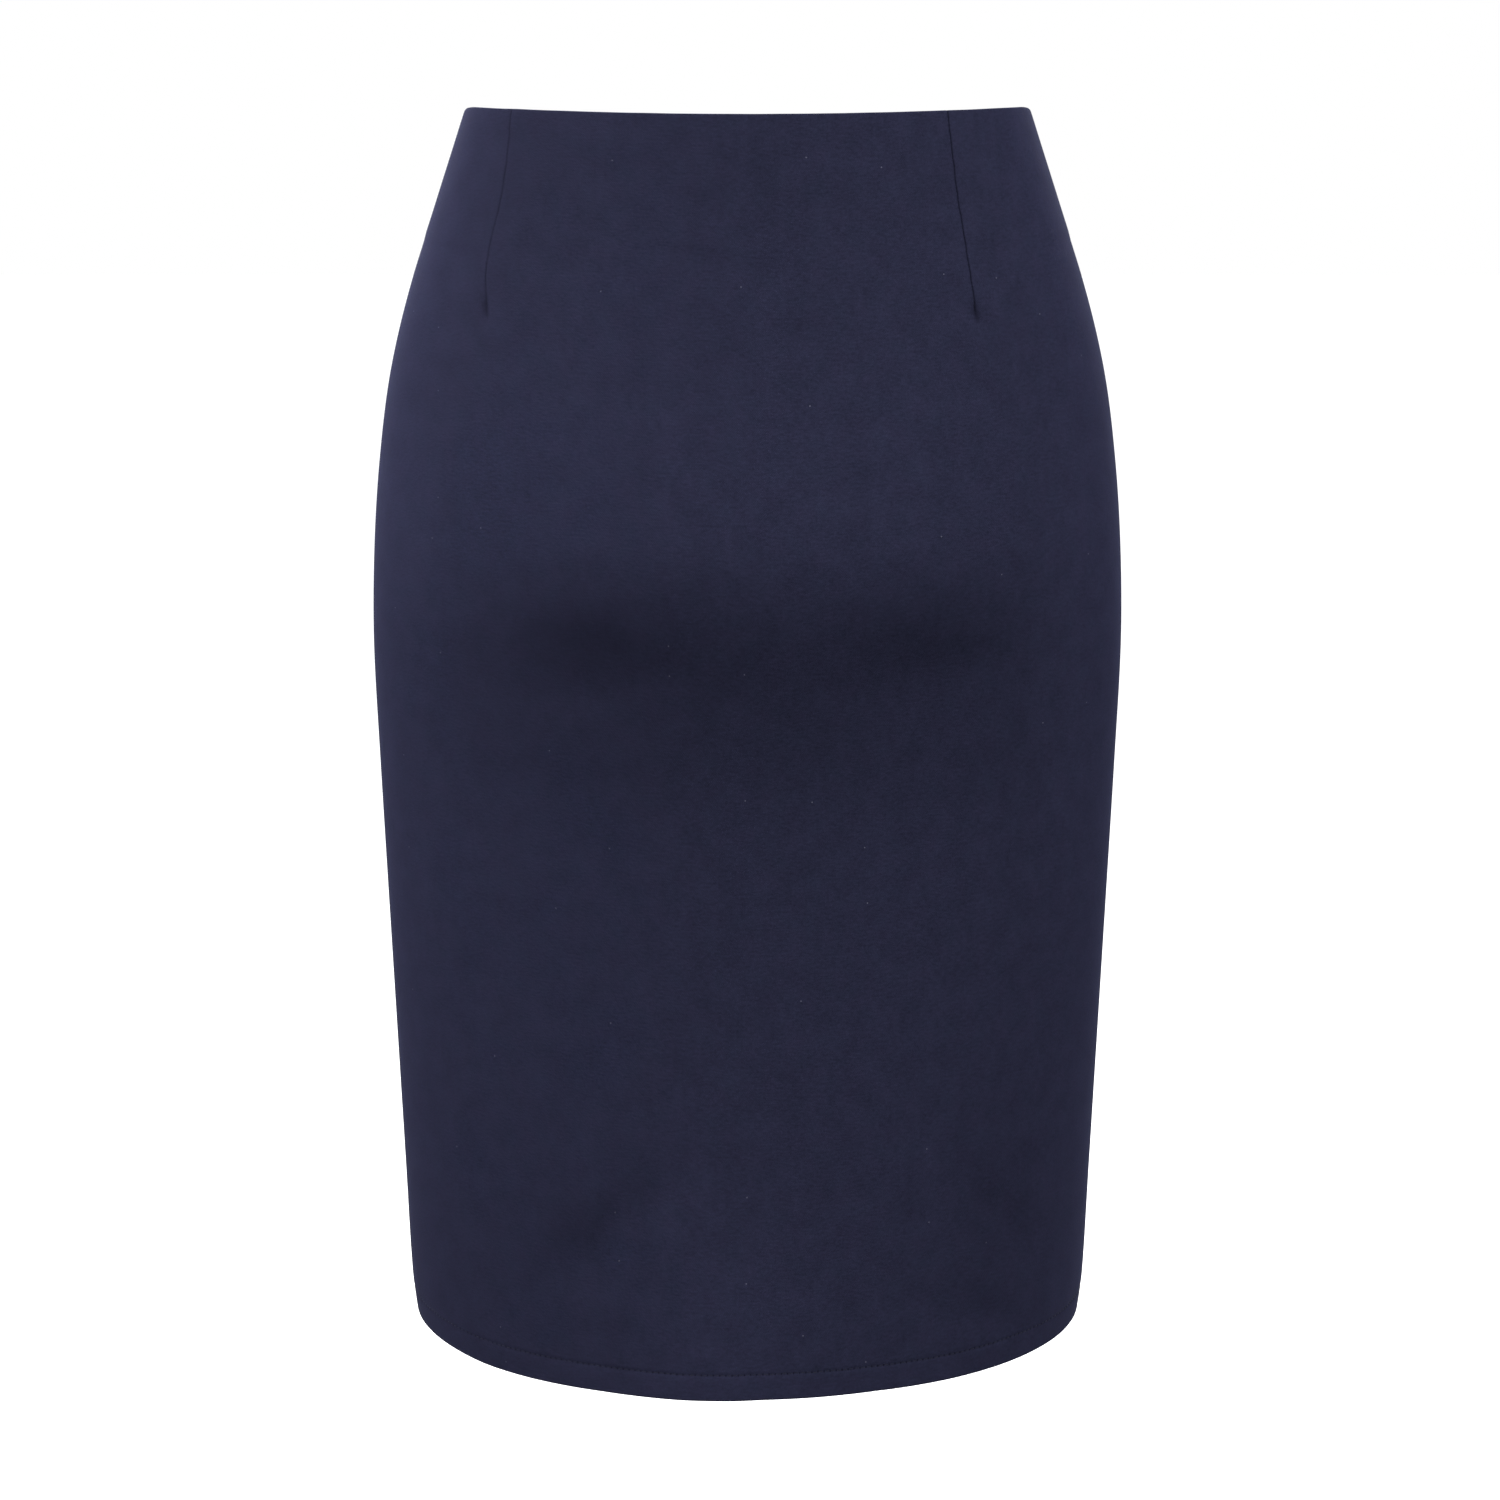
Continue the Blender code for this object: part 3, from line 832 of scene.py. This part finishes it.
def double_knit(name, cloth, dull=1.0, stitched=False):
    """Smooth double knit: fine grain, short level streaks, faint ribs, slow mottling and specks of lint."""
    finish = Finish(name)
    place, across, down = finish.cloth_places()
    streak_place = finish.node("CombineXYZ", None, {"X": across * 0.30, "Y": down * 0.85})
    streak = finish.noise(streak_place, 1.0, 3.0, 0.62)
    grain = finish.noise(place, 1.0, 2.5)
    mottle = finish.noise(place, 0.075, 3.0, 0.6)
    elsewhere = finish.node("VectorMath", {"operation": "ADD"}, {0: place, 1: (420.0, 90.0, 0.0)})
    tint = finish.noise(elsewhere, 0.11)
    rib = finish.sum("SINE", across * (2 * pi / cloth.rib))
    course = finish.sum("SINE", down * (2 * pi / cloth.course))
    loops = rib * course
    light = 1.0 + (streak - 0.5) * 0.62 + (grain - 0.5) * 0.44 + (mottle - 0.5) * 0.36 + loops * 0.06
    colour = finish.scaled(finish.mix(tint, shade(cloth.navy), shade(cloth.violet)), light * dull)
    # specks of lint lie at the middles of a few of the cells
    cells, cell_places = {"voronoi_dimensions": "2D"}, {"Vector": place, "Scale": 0.034}
    middle = finish.node("TexVoronoi", cells, cell_places, 0)
    kind = finish.node("SeparateColor", None, {0: finish.node("TexVoronoi", cells, cell_places, 1)}, 0)
    lint = finish.sum("LESS_THAN", middle, 0.0105) * finish.sum("GREATER_THAN", kind, 0.8)
    colour = finish.mix(lint * 0.22, colour, shade(cloth.lint))
    # painted shade in the sewn lines, and painted light and shade over the hips and by the folds, darken and
    # lighten the knit's colour
    painted_light_and_shade = (1.0 - finish.attribute("crease") * 0.75) * (1.0 + finish.attribute("stretch") * cloth.painted_shading)
    height = streak * 0.8 + grain * 0.4 + loops * 0.22 + lint * 0.5
    if stitched:
        near = finish.sum("LESS_THAN", finish.sum("ABSOLUTE", down - STITCH_LINE), 0.5)
        turn = finish.sum("COSINE", across * (2 * pi / STITCH_PITCH))
        hole = near * finish.sum("LESS_THAN", turn, -0.8)
        # painted shade in the hem's needle holes, which the bump also sinks
        painted_light_and_shade = painted_light_and_shade * (1.0 - hole * 0.6)
        height = height - hole * 2.0
    return finish.set(
        Base_Color=finish.scaled(colour, painted_light_and_shade),
        Roughness=0.80 + (streak - 0.5) * 0.2,
        Normal=finish.bump(height, 0.16, 0.45),
        Sheen_Weight=cloth.sheen,
        Sheen_Roughness=0.42,
        Sheen_Tint=shade(cloth.sheen_tint),
        Specular_IOR_Level=0.005,
    )


def sewing_thread(name, thread):
    """Matt thread with a fine twist."""
    finish = Finish(name)
    fuzz = finish.noise(finish.solid_places(), 3.0, dimensions="3D")
    return finish.set(
        Base_Color=finish.scaled(thread.colour, 0.6 + fuzz * 0.8),
        Roughness=0.6 + fuzz * 0.2,
        Normal=finish.bump(fuzz, 0.1, 0.4),
        Sheen_Weight=0.02,
        Specular_IOR_Level=0.05,
    )


def woven_tape(name, colour):
    """Firm narrow tape: slanted twill with a ribbed edge."""
    finish = Finish(name)
    place, across, down = finish.cloth_places()
    twill = finish.sum("SINE", (across + down) * (2 * pi / 0.8)) * 0.5 + 0.5
    cross = finish.sum("SINE", across * (2 * pi / 1.6)) * 0.5 + 0.5
    fuzz = finish.noise(place, 1.4)
    return finish.set(
        Base_Color=finish.scaled(colour, 0.55 + twill * 0.3 + cross * 0.2 + fuzz * 0.4),
        Roughness=0.7 + fuzz * 0.15,
        Normal=finish.bump(twill + cross * 0.6, 0.12, 0.6),
        Specular_IOR_Level=0.03,
    )


def enamelled_metal(name, settings):
    """Navy enamel over metal: a clear even coat, faintly mottled and rubbed here and there."""
    finish = Finish(name)
    place = finish.solid_places()
    cloud = finish.noise(place, 0.5, 3.0, dimensions="3D")
    peel = finish.noise(place, 2.6, 1.0, dimensions="3D")
    rubbed = finish.noise(place, 1.1, 5.0, 0.7, dimensions="3D")
    bare = finish.node("MapRange", None, {0: rubbed, 1: 0.68, 2: 0.72, 3: 0.0, 4: 1.0})
    pale = shade([1.5 * part for part in settings.enamel])
    colour = finish.mix(cloud, shade(settings.enamel), pale)
    return finish.set(
        Base_Color=finish.mix(bare, colour, shade(settings.metal)),
        Metallic=bare * 0.8,
        Roughness=0.4 + cloud * 0.15,
        Coat_Weight=0.02,
        Normal=finish.bump(peel, 0.03, 0.3),
        Specular_IOR_Level=0.16,
    )


def finish_named(name, make, *given, **more):
    """A finish that is made once."""
    return bpy.data.materials.get(name) or make(name, *given, **more)


# --- settings ---


def colour_setting(name, description, default):
    return FloatVectorProperty(name=name, description=description, subtype="COLOR", default=default)


def number_setting(name, description, default, **limits):
    return FloatProperty(name=name, description=description, default=default, **limits)


class SkirtCloth(PropertyGroup):
    navy: colour_setting("Navy", "The knit's main colour", (0.0051, 0.00575, 0.0116))
    violet: colour_setting("Violet navy", "The colour it drifts towards", (0.0058, 0.00565, 0.0120))
    lint: colour_setting("Lint", "Specks of lint", (0.10, 0.10, 0.13))
    sheen: number_setting("Sheen", "Light caught at grazing angles", 0.014, min=0, max=1)
    sheen_tint: colour_setting("Sheen tint", "Colour of the sheen", (0.34, 0.38, 1.0))
    # How strongly the painted light and painted shade from the cloth's attribute lighten and darken the
    # knit's colour
    painted_shading: number_setting("Slack", "How much darker slack knit is", 0.11, min=0, max=0.3)
    rib: number_setting("Rib", "Width of one rib in millimetres", 0.9, min=0.3)
    course: number_setting("Course", "Height of one row of loops in millimetres", 0.7, min=0.3)


class SkirtThread(PropertyGroup):
    # the thread's own navy, made darker than the knit so that it also stands for each stitch's painted shadow
    # in its dent
    colour: colour_setting("Thread", "Colour of the sewing thread", (0.0030, 0.0033, 0.0068))
    length: number_setting("Stitch length", "In millimetres", 1.8, min=0.5)
    width: number_setting("Thread width", "In millimetres", 0.40, min=0.1)


class SkirtZip(PropertyGroup):
    tape: colour_setting("Tape", "Colour of the tape", (0.0075, 0.0080, 0.0165))
    coil: colour_setting("Coil", "Colour of the coil", (0.009, 0.0095, 0.019))
    enamel: colour_setting("Enamel", "Colour of the slider and pull", (0.006, 0.0066, 0.0150))
    metal: colour_setting("Metal", "Where the enamel is rubbed", (0.30, 0.30, 0.32))


class SkirtStudio(PropertyGroup):
    distance: number_setting("Distance", "Camera to the skirt's middle", 1.5, unit="LENGTH")
    height: number_setting("Height", "Camera above the waist", -0.005, unit="LENGTH")
    tilt: number_setting("Tilt", "Camera's downward tilt", radians(11.12), subtype="ANGLE")
    lens: number_setting("Lens", "Focal length in millimetres", 77.16)
    floor_drop: number_setting("Floor", "Floor below the waist", 1.03, unit="LENGTH")


# --- shaping by hand ---


def on_skirt(piece, node=None):
    """Sets a finished piece on the skirt, in place of its CAD solid where it has one."""
    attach(piece, "skirt")
    if node:
        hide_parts(node)


def sew_round(label, part, rows, near, thickness, finish, middle):
    """Makes a front and two back halves of cloth, and sets them on the skirt."""
    drop = rows[0]
    pieces = [("front", "front_" + part, "front", 1, -seam_angle("front", drop))]
    for name, side in (("left", 1), ("right", -1)):
        pieces.append(("back_" + name, f"back_{part}_{name}", "back", side, middle_back_angle(middle, drop)))
    for place, node, panel, side, start in pieces:
        angle = side * columns(panel, drop, start, seam_angle(panel, drop))
        piece = cloth_piece(f"{label}_{place}", panel, angle, rows, near, thickness, finish)
        on_skirt(piece, node)


def start_block(name, size, middle=(0.0, 0.0, 0.0)):
    """A new block with its size and middle in millimetres."""
    deselect()
    bpy.ops.mesh.primitive_cube_add(size=MM, location=Vector(middle) * MM, scale=size)
    bpy.ops.object.transform_apply(location=True, rotation=False, scale=True)
    bpy.context.object.name = name
    return bpy.context.object


def pick(piece, kind, wanted):
    """Selects the faces, edges or verts that a test picks, in edit mode."""
    build = bmesh.from_edit_mesh(piece.data)
    bpy.ops.mesh.select_all(action="DESELECT")
    for part in getattr(build, kind):
        if wanted(part):
            part.select_set(True)
    build.select_flush_mode()
    bmesh.update_edit_mesh(piece.data)


def pick_faces(piece, wanted):
    pick(piece, "faces", lambda face: wanted(face.calc_center_median() / MM, face.normal))


def pick_points(piece, wanted):
    pick(piece, "verts", lambda vert: wanted(vert.co / MM))


def pick_level_edge(piece, level):
    pick(piece, "edges", lambda edge: all(abs(vert.co.z - level) < MERGE / 2 * MM for vert in edge.verts))


def round_edges(piece, width, segments, angle=30.0):
    bevel = piece.modifiers.new("rounded", "BEVEL")
    bevel.width = width * MM
    bevel.segments = segments
    bevel.limit_method = "ANGLE"
    bevel.angle_limit = radians(angle)
    bpy.context.view_layer.objects.active = piece
    bpy.ops.object.modifier_apply(modifier=bevel.name)
    piece.data.shade_smooth()


def seat_on_hinge(piece):
    """Moves a piece from the origin onto the pull's axis, leaning with the cloth, inside its mesh."""
    joint = frame["joints"][0]
    lean = outward("back", 0.0, HINGE_DROP)
    turn = Matrix.Rotation(atan2(lean[2], lean[1]), 4, "X")
    piece.matrix_world = Matrix.Translation(Vector(joint["pos_m"])) @ turn @ piece.matrix_world
    deselect()
    piece.select_set(True)
    bpy.context.view_layer.objects.active = piece
    bpy.ops.object.transform_apply(location=True, rotation=True, scale=True)


# --- operators ---


class SKIRT_OT_panels(Operator):
    """Cut and sew the front and the two back panels"""

    bl_idname = "skirt.panels"
    bl_label = "Panels"

    def execute(self, context):
        cloth = context.scene.skirt_cloth
        finish = finish_named("navy_double_knit", double_knit, cloth, stitched=True)
        rows = rounded_rows(filled(sorted(PANEL_ROWS)), CLOTH / 2, CLOTH)
        middle = slit_half(rows[0], TOUCH)
        sew_round("knit", "panel", rows, 0.0, panel_thickness, finish, middle)
        return {"FINISHED"}


class SKIRT_OT_facings(Operator):
    """Sew the waist facings inside the panels"""

    bl_idname = "skirt.facings"
    bl_label = "Waist facings"

    def execute(self, context):
        cloth = context.scene.skirt_cloth
        finish = finish_named("navy_facing_knit", double_knit, cloth, dull=0.92)
        rows = rounded_rows(filled(FACING_ROWS), FACING / 2, FACING / 2)
        middle = np.full_like(rows[0], BACK_FACING_START)
        near = CLOTH + GAP
        sew_round("facing", "facing", rows, near, even_thickness(FACING), finish, middle)
        return {"FINISHED"}


class SKIRT_OT_stitching(Operator):
    """Stitch the hem all round, and bind the raw edges inside"""

    bl_idname = "skirt.stitching"
    bl_label = "Stitching"

    def execute(self, context):
        thread = context.scene.skirt_thread
        finish = finish_named("navy_thread", sewing_thread, thread)
        chance = np.random.default_rng(7)
        for panel in ("front", "back"):
            reach = level_run(panel, STITCH_LINE) - STITCH_FROM_SEAM
            first = np.ceil(-reach / STITCH_PITCH)
            runs = np.arange(first, -first + 1) * STITCH_PITCH
            leans = chance.normal(0.0, STITCH_LEAN, len(runs))
            drops = STITCH_LINE + chance.normal(0.0, STITCH_STRAY, len(runs))
            frames = frames_on(panel, runs, drops, STITCH_SUNK, leans)
            stitch = one_stitch(thread.length, thread.width)
            on_skirt(copied("hem_stitches_" + panel, stitch, frames, finish))
        inside = {"facing": CLOTH + GAP + FACING + BIND_PROUD, "hem": 2 * CLOTH + BIND_PROUD}
        bound = (
            ("facing", "facing", FACING_DEPTH - 1.9, BACK_FACING_START + 0.5),
            ("hem", "knit", LENGTH - HEM_TURN + 2.4, 0.4),
        )
        for edge, slot, drop, middle in bound:
            for panel in ("front", "back"):
                reach = level_run(panel, drop) - BIND_FROM_SEAM
                runs = np.arange(-reach, reach, BIND_PITCH)
                if panel == "back":
                    runs = runs[np.abs(runs) > middle]
                leans = pi / 2 + chance.normal(BIND_LEAN, BIND_STRAY, len(runs))
                frames = frames_on(panel, runs, np.full(len(runs), drop), inside[edge], leans)
                stitch = one_stitch(BIND_LENGTH, thread.width)
                on_skirt(copied(f"{edge}_binding_{panel}", stitch, frames, finish))
        declare_cloth()
        return {"FINISHED"}


class SKIRT_OT_zip_tapes(Operator):
    """Sew the zip's tapes and coil behind the back seam"""

    bl_idname = "skirt.zip_tapes"
    bl_label = "Zip tapes and coil"

    def execute(self, context):
        settings = context.scene.skirt_zip
        tape = finish_named("navy_tape", woven_tape, settings.tape)
        coil = finish_named("navy_coil", woven_tape, settings.coil)
        rows = rounded_rows(filled(TAPE_ROWS), TAPE / 2, TAPE / 2)
        drop = rows[0]
        inner = slit_half(drop, TAPE_PART)
        near = CLOTH + GAP
        for name, side in (("left", 1), ("right", -1)):
            x = inner[:, None] + (TAPE_WIDTH - inner)[:, None] * np.linspace(0.0, 1.0, 9)
            angle = side * middle_back_angle(x, drop[:, None])
            piece = cloth_piece("tape_" + name, "back", angle, rows, near, even_thickness(TAPE), tape)
            on_skirt(piece, "zip_tape_" + name)
            # the two coils mesh, half a turn apart
            apart = COIL_PITCH / 2 if side > 0 else 0.0
            drops = np.arange(HINGE_DROP + COIL_START, TAPE_END - COIL_END, COIL_PITCH) + apart
            runs = np.full(len(drops), side * COIL_OUT)
            frames = frames_on("back", runs, drops, near + TAPE + COIL_PROUD)
            loop = one_loop(*COIL_LOOP)
            on_skirt(copied("coil_" + name, loop, frames, coil))
        return {"FINISHED"}


class SKIRT_OT_slider(Operator):
    """Make the zip's slider with its ring, and the stop at the zip's end"""

    bl_idname = "skirt.slider"
    bl_label = "Zip slider"

    def execute(self, context):
        finish = finish_named("navy_enamel", enamelled_metal, context.scene.skirt_zip)
        face = -(HINGE_OUT + CLOTH + GAP + TAPE_ROOM + GAP)
        slider = self.block(Vector((0.0, face - SLIDER[1] / 2, SLIDER_UP)))
        ring = self.ring(face)
        ring.data.shade_smooth()
        slider.select_set(True)
        bpy.context.view_layer.objects.active = slider
        bpy.ops.object.join()
        seat_on_hinge(slider)
        slider.data.materials.append(finish)
        on_skirt(slider, "zip_slider")
        stop = self.stop()
        stop.data.materials.append(finish)
        on_skirt(stop)
        return {"FINISHED"}

    def block(self, middle):
        """The slider's block, narrower at its ends, with a channel down each side and a raised pad."""
        slider = start_block("slider", SLIDER, middle)
        start_editing()
        bpy.ops.mesh.subdivide(number_cuts=2)
        for row, share in SLIDER_ROWS:
            level = middle.z + (row / 3 - 0.5) * SLIDER[2]
            pick_points(slider, lambda place: abs(place.z - level) < 0.1)
            stretched(share, 1.0, 1.0, centre=middle * MM)
        pick_faces(slider, lambda place, normal: abs(normal.x) > 0.7 and abs(place.y - middle.y) < 0.3)
        bpy.ops.mesh.inset(thickness=CHANNEL_RIM * MM)
        stretched(CHANNEL_SHARE, 1.0, 1.0, centre=middle * MM)
        pick_faces(slider, lambda place, normal: normal.y < -0.7 and (place - middle).xz.length < 1)
        bpy.ops.mesh.inset(thickness=PAD_RIM * MM, depth=PAD_RISE * MM)
        stop_editing()
        round_edges(slider, 0.28, 3, 25.0)
        return slider

    def ring(self, face):
        """The ring that the pull turns on, its inner half drawn back into the block."""
        deselect()
        bpy.ops.mesh.primitive_torus_add(
            major_radius=RING_RADIUS * MM,
            minor_radius=RING_WIRE * MM,
            major_segments=28,
            minor_segments=10,
            rotation=(0, pi / 2, 0),
        )
        bpy.ops.object.transform_apply(location=True, rotation=True, scale=True)
        ring = bpy.context.object
        start_editing()
        pick_points(ring, lambda place: place.y < -0.05)
        bpy.ops.transform.translate(value=(0.0, (face + RING_SEAT) * MM, 0.0))
        return stop_editing()

    def stop(self):
        """A small clip round both tapes."""
        stop = start_block("zip_stop", STOP)
        start_editing()
        pick_faces(stop, lambda place, normal: abs(normal.z) > 0.7)
        bpy.ops.mesh.inset(thickness=STOP_RIM * MM, depth=-STOP_DISH * MM)
        stop_editing()
        round_edges(stop, 0.2, 2)
        drop = np.array([TAPE_END - STOP_UP])
        (place,), (axes,) = frames_on("back", np.zeros(1), drop, CLOTH + GAP + TAPE + STOP_PROUD)
        stop.data.transform(Matrix(axes.T.tolist()).to_4x4())
        stop.data.transform(Matrix.Translation(Vector(place)))
        return stop


class SKIRT_OT_pull(Operator):
    """Make the drop-shaped pull that hangs from the slider's ring"""

    bl_idname = "skirt.pull"
    bl_label = "Zip pull"

    def execute(self, context):
        finish = finish_named("navy_enamel", enamelled_metal, context.scene.skirt_zip)
        deselect()
        # the eye: a small frame whose upper bar turns in the ring
        middle = (0, 0, EYE_MIDDLE * MM)
        bpy.ops.mesh.primitive_plane_add(size=MM, location=middle, rotation=(pi / 2, 0, 0))
        bpy.ops.object.transform_apply(location=True, rotation=True, scale=True)
        pull = bpy.context.object
        pull.name = "pull_tab"
        start_editing()
        stretched(EYE_WIDE, 1.0, EYE_HIGH, centre=middle)
        bpy.ops.mesh.inset(thickness=EYE_WIRE * MM)
        bpy.ops.mesh.delete(type="FACE")
        for drop, width in PULL_STEPS:
            self.grow(pull, -drop * MM, width * MM)
        bpy.ops.mesh.select_all(action="SELECT")
        bpy.ops.mesh.remove_doubles(threshold=MERGE * MM)
        bpy.ops.mesh.normals_make_consistent(inside=False)
        stop_editing()
        thick = pull.modifiers.new("thick", "SOLIDIFY")
        thick.thickness = PULL_THICK * MM
        thick.offset = 0.0
        bpy.ops.object.modifier_apply(modifier=thick.name)
        # a shallow dish on both faces of the tab
        start_editing()
        pick_faces(pull, lambda place, normal: abs(normal.y) > 0.9 and place.z < DISH_START)
        bpy.ops.mesh.inset(thickness=DISH_RIM * MM, depth=-DISH_DEPTH * MM)
        stop_editing()
        round_edges(pull, 0.16, 3, 35.0)
        seat_on_hinge(pull)
        pull.data.materials.append(finish)
        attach(pull, "pull")
        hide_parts("zip_pull")
        return {"FINISHED"}

    def grow(self, pull, level, width):
        """Draws the tab's lowest edge down to a level and out to a width."""
        build = bmesh.from_edit_mesh(pull.data)
        lowest = min(vert.co.z for vert in build.verts)
        pick_level_edge(pull, lowest)
        bpy.ops.mesh.extrude_region_move(TRANSFORM_OT_translate={"value": (0.0, 0.0, level - lowest)})
        pick_level_edge(pull, level)
        across = [vert.co.x for vert in bmesh.from_edit_mesh(pull.data).verts if vert.select]
        stretched(width / (max(across) - min(across)), 1.0, 1.0)


class SKIRT_OT_studio(Operator):
    """Set up the floor, the soft lights and the camera"""

    bl_idname = "skirt.studio"
    bl_label = "Studio"

    def execute(self, context):
        studio = context.scene.skirt_studio
        deselect()
        bpy.ops.mesh.primitive_plane_add(size=FLOOR_SIZE, location=(0, 0, -studio.floor_drop))
        floor = context.object
        floor.name = "studio_floor"
        pale = Finish("pale_floor")
        grain = pale.noise(pale.node("TexCoord", None, None, 3), 3.0, dimensions="3D")
        floor.data.materials.append(
            pale.set(
                Base_Color=pale.mix(grain, *(grey(level) for level in FLOOR_GREYS)),
                Roughness=0.9,
                Emission_Color=grey(1.0),
                Emission_Strength=FLOOR_GLOW,
            )
        )
        world = bpy.data.worlds.new("white_studio")
        world.use_nodes = True
        background = world.node_tree.nodes["Background"]
        background.inputs["Color"].default_value = grey(1.0)
        background.inputs["Strength"].default_value = 1.0
        context.scene.world = world
        for given in LIGHTS:
            self.light(given)
        bpy.ops.object.camera_add(
            location=(0.0, -studio.distance, studio.height), rotation=(pi / 2 - studio.tilt, 0.0, 0.0)
        )
        camera = context.object
        camera.data.lens = studio.lens
        camera.data.sensor_width = SENSOR_WIDTH
        camera.data.shift_x = SHIFT_X
        context.scene.camera = camera
        context.scene.view_settings.view_transform = "Standard"
        return {"FINISHED"}

    def light(self, given):
        """A soft oblong light that faces the skirt and isn't seen itself."""
        bpy.ops.object.light_add(type="AREA", location=given.place)
        light = bpy.context.object
        light.name = given.name
        light.data.shape = "RECTANGLE"
        light.data.size = given.width
        light.data.size_y = given.height
        light.data.energy = given.power
        light.data.spread = radians(given.spread)
        light.rotation_euler = (LIGHTS_AIM - Vector(given.place)).to_track_quat("-Z", "Y").to_euler()
        light.visible_camera = False


class SKIRT_PT_panel(Panel):
    """The skirt's pieces and settings"""

    bl_idname = "SKIRT_PT_panel"
    bl_label = "Pencil Skirt"
    bl_space_type = "VIEW_3D"
    bl_region_type = "UI"
    bl_category = "Skirt"

    def draw(self, context):
        for group in SETTINGS:
            settings = getattr(context.scene, group)
            box = self.layout.box()
            for name in settings.bl_rna.properties.keys():
                if name not in ("rna_type", "name"):
                    box.prop(settings, name)
        for operator in OPERATORS:
            self.layout.operator(operator.bl_idname)


SETTINGS = {
    "skirt_cloth": SkirtCloth,
    "skirt_thread": SkirtThread,
    "skirt_zip": SkirtZip,
    "skirt_studio": SkirtStudio,
}
OPERATORS = (
    SKIRT_OT_panels,
    SKIRT_OT_facings,
    SKIRT_OT_stitching,
    SKIRT_OT_zip_tapes,
    SKIRT_OT_slider,
    SKIRT_OT_pull,
    SKIRT_OT_studio,
)


def register():
    for kind in (*SETTINGS.values(), *OPERATORS, SKIRT_PT_panel):
        bpy.utils.register_class(kind)
    for name, kind in SETTINGS.items():
        setattr(bpy.types.Scene, name, PointerProperty(type=kind))


def unregister():
    for name in SETTINGS:
        delattr(bpy.types.Scene, name)
    for kind in (SKIRT_PT_panel, *reversed(OPERATORS), *SETTINGS.values()):
        bpy.utils.unregister_class(kind)


def main():
    register()
    deselect()
    bpy.ops.skirt.panels()
    bpy.ops.skirt.facings()
    bpy.ops.skirt.stitching()
    bpy.ops.skirt.zip_tapes()
    bpy.ops.skirt.slider()
    bpy.ops.skirt.pull()
    bpy.ops.skirt.studio()


if __name__ == "__main__":
    main()
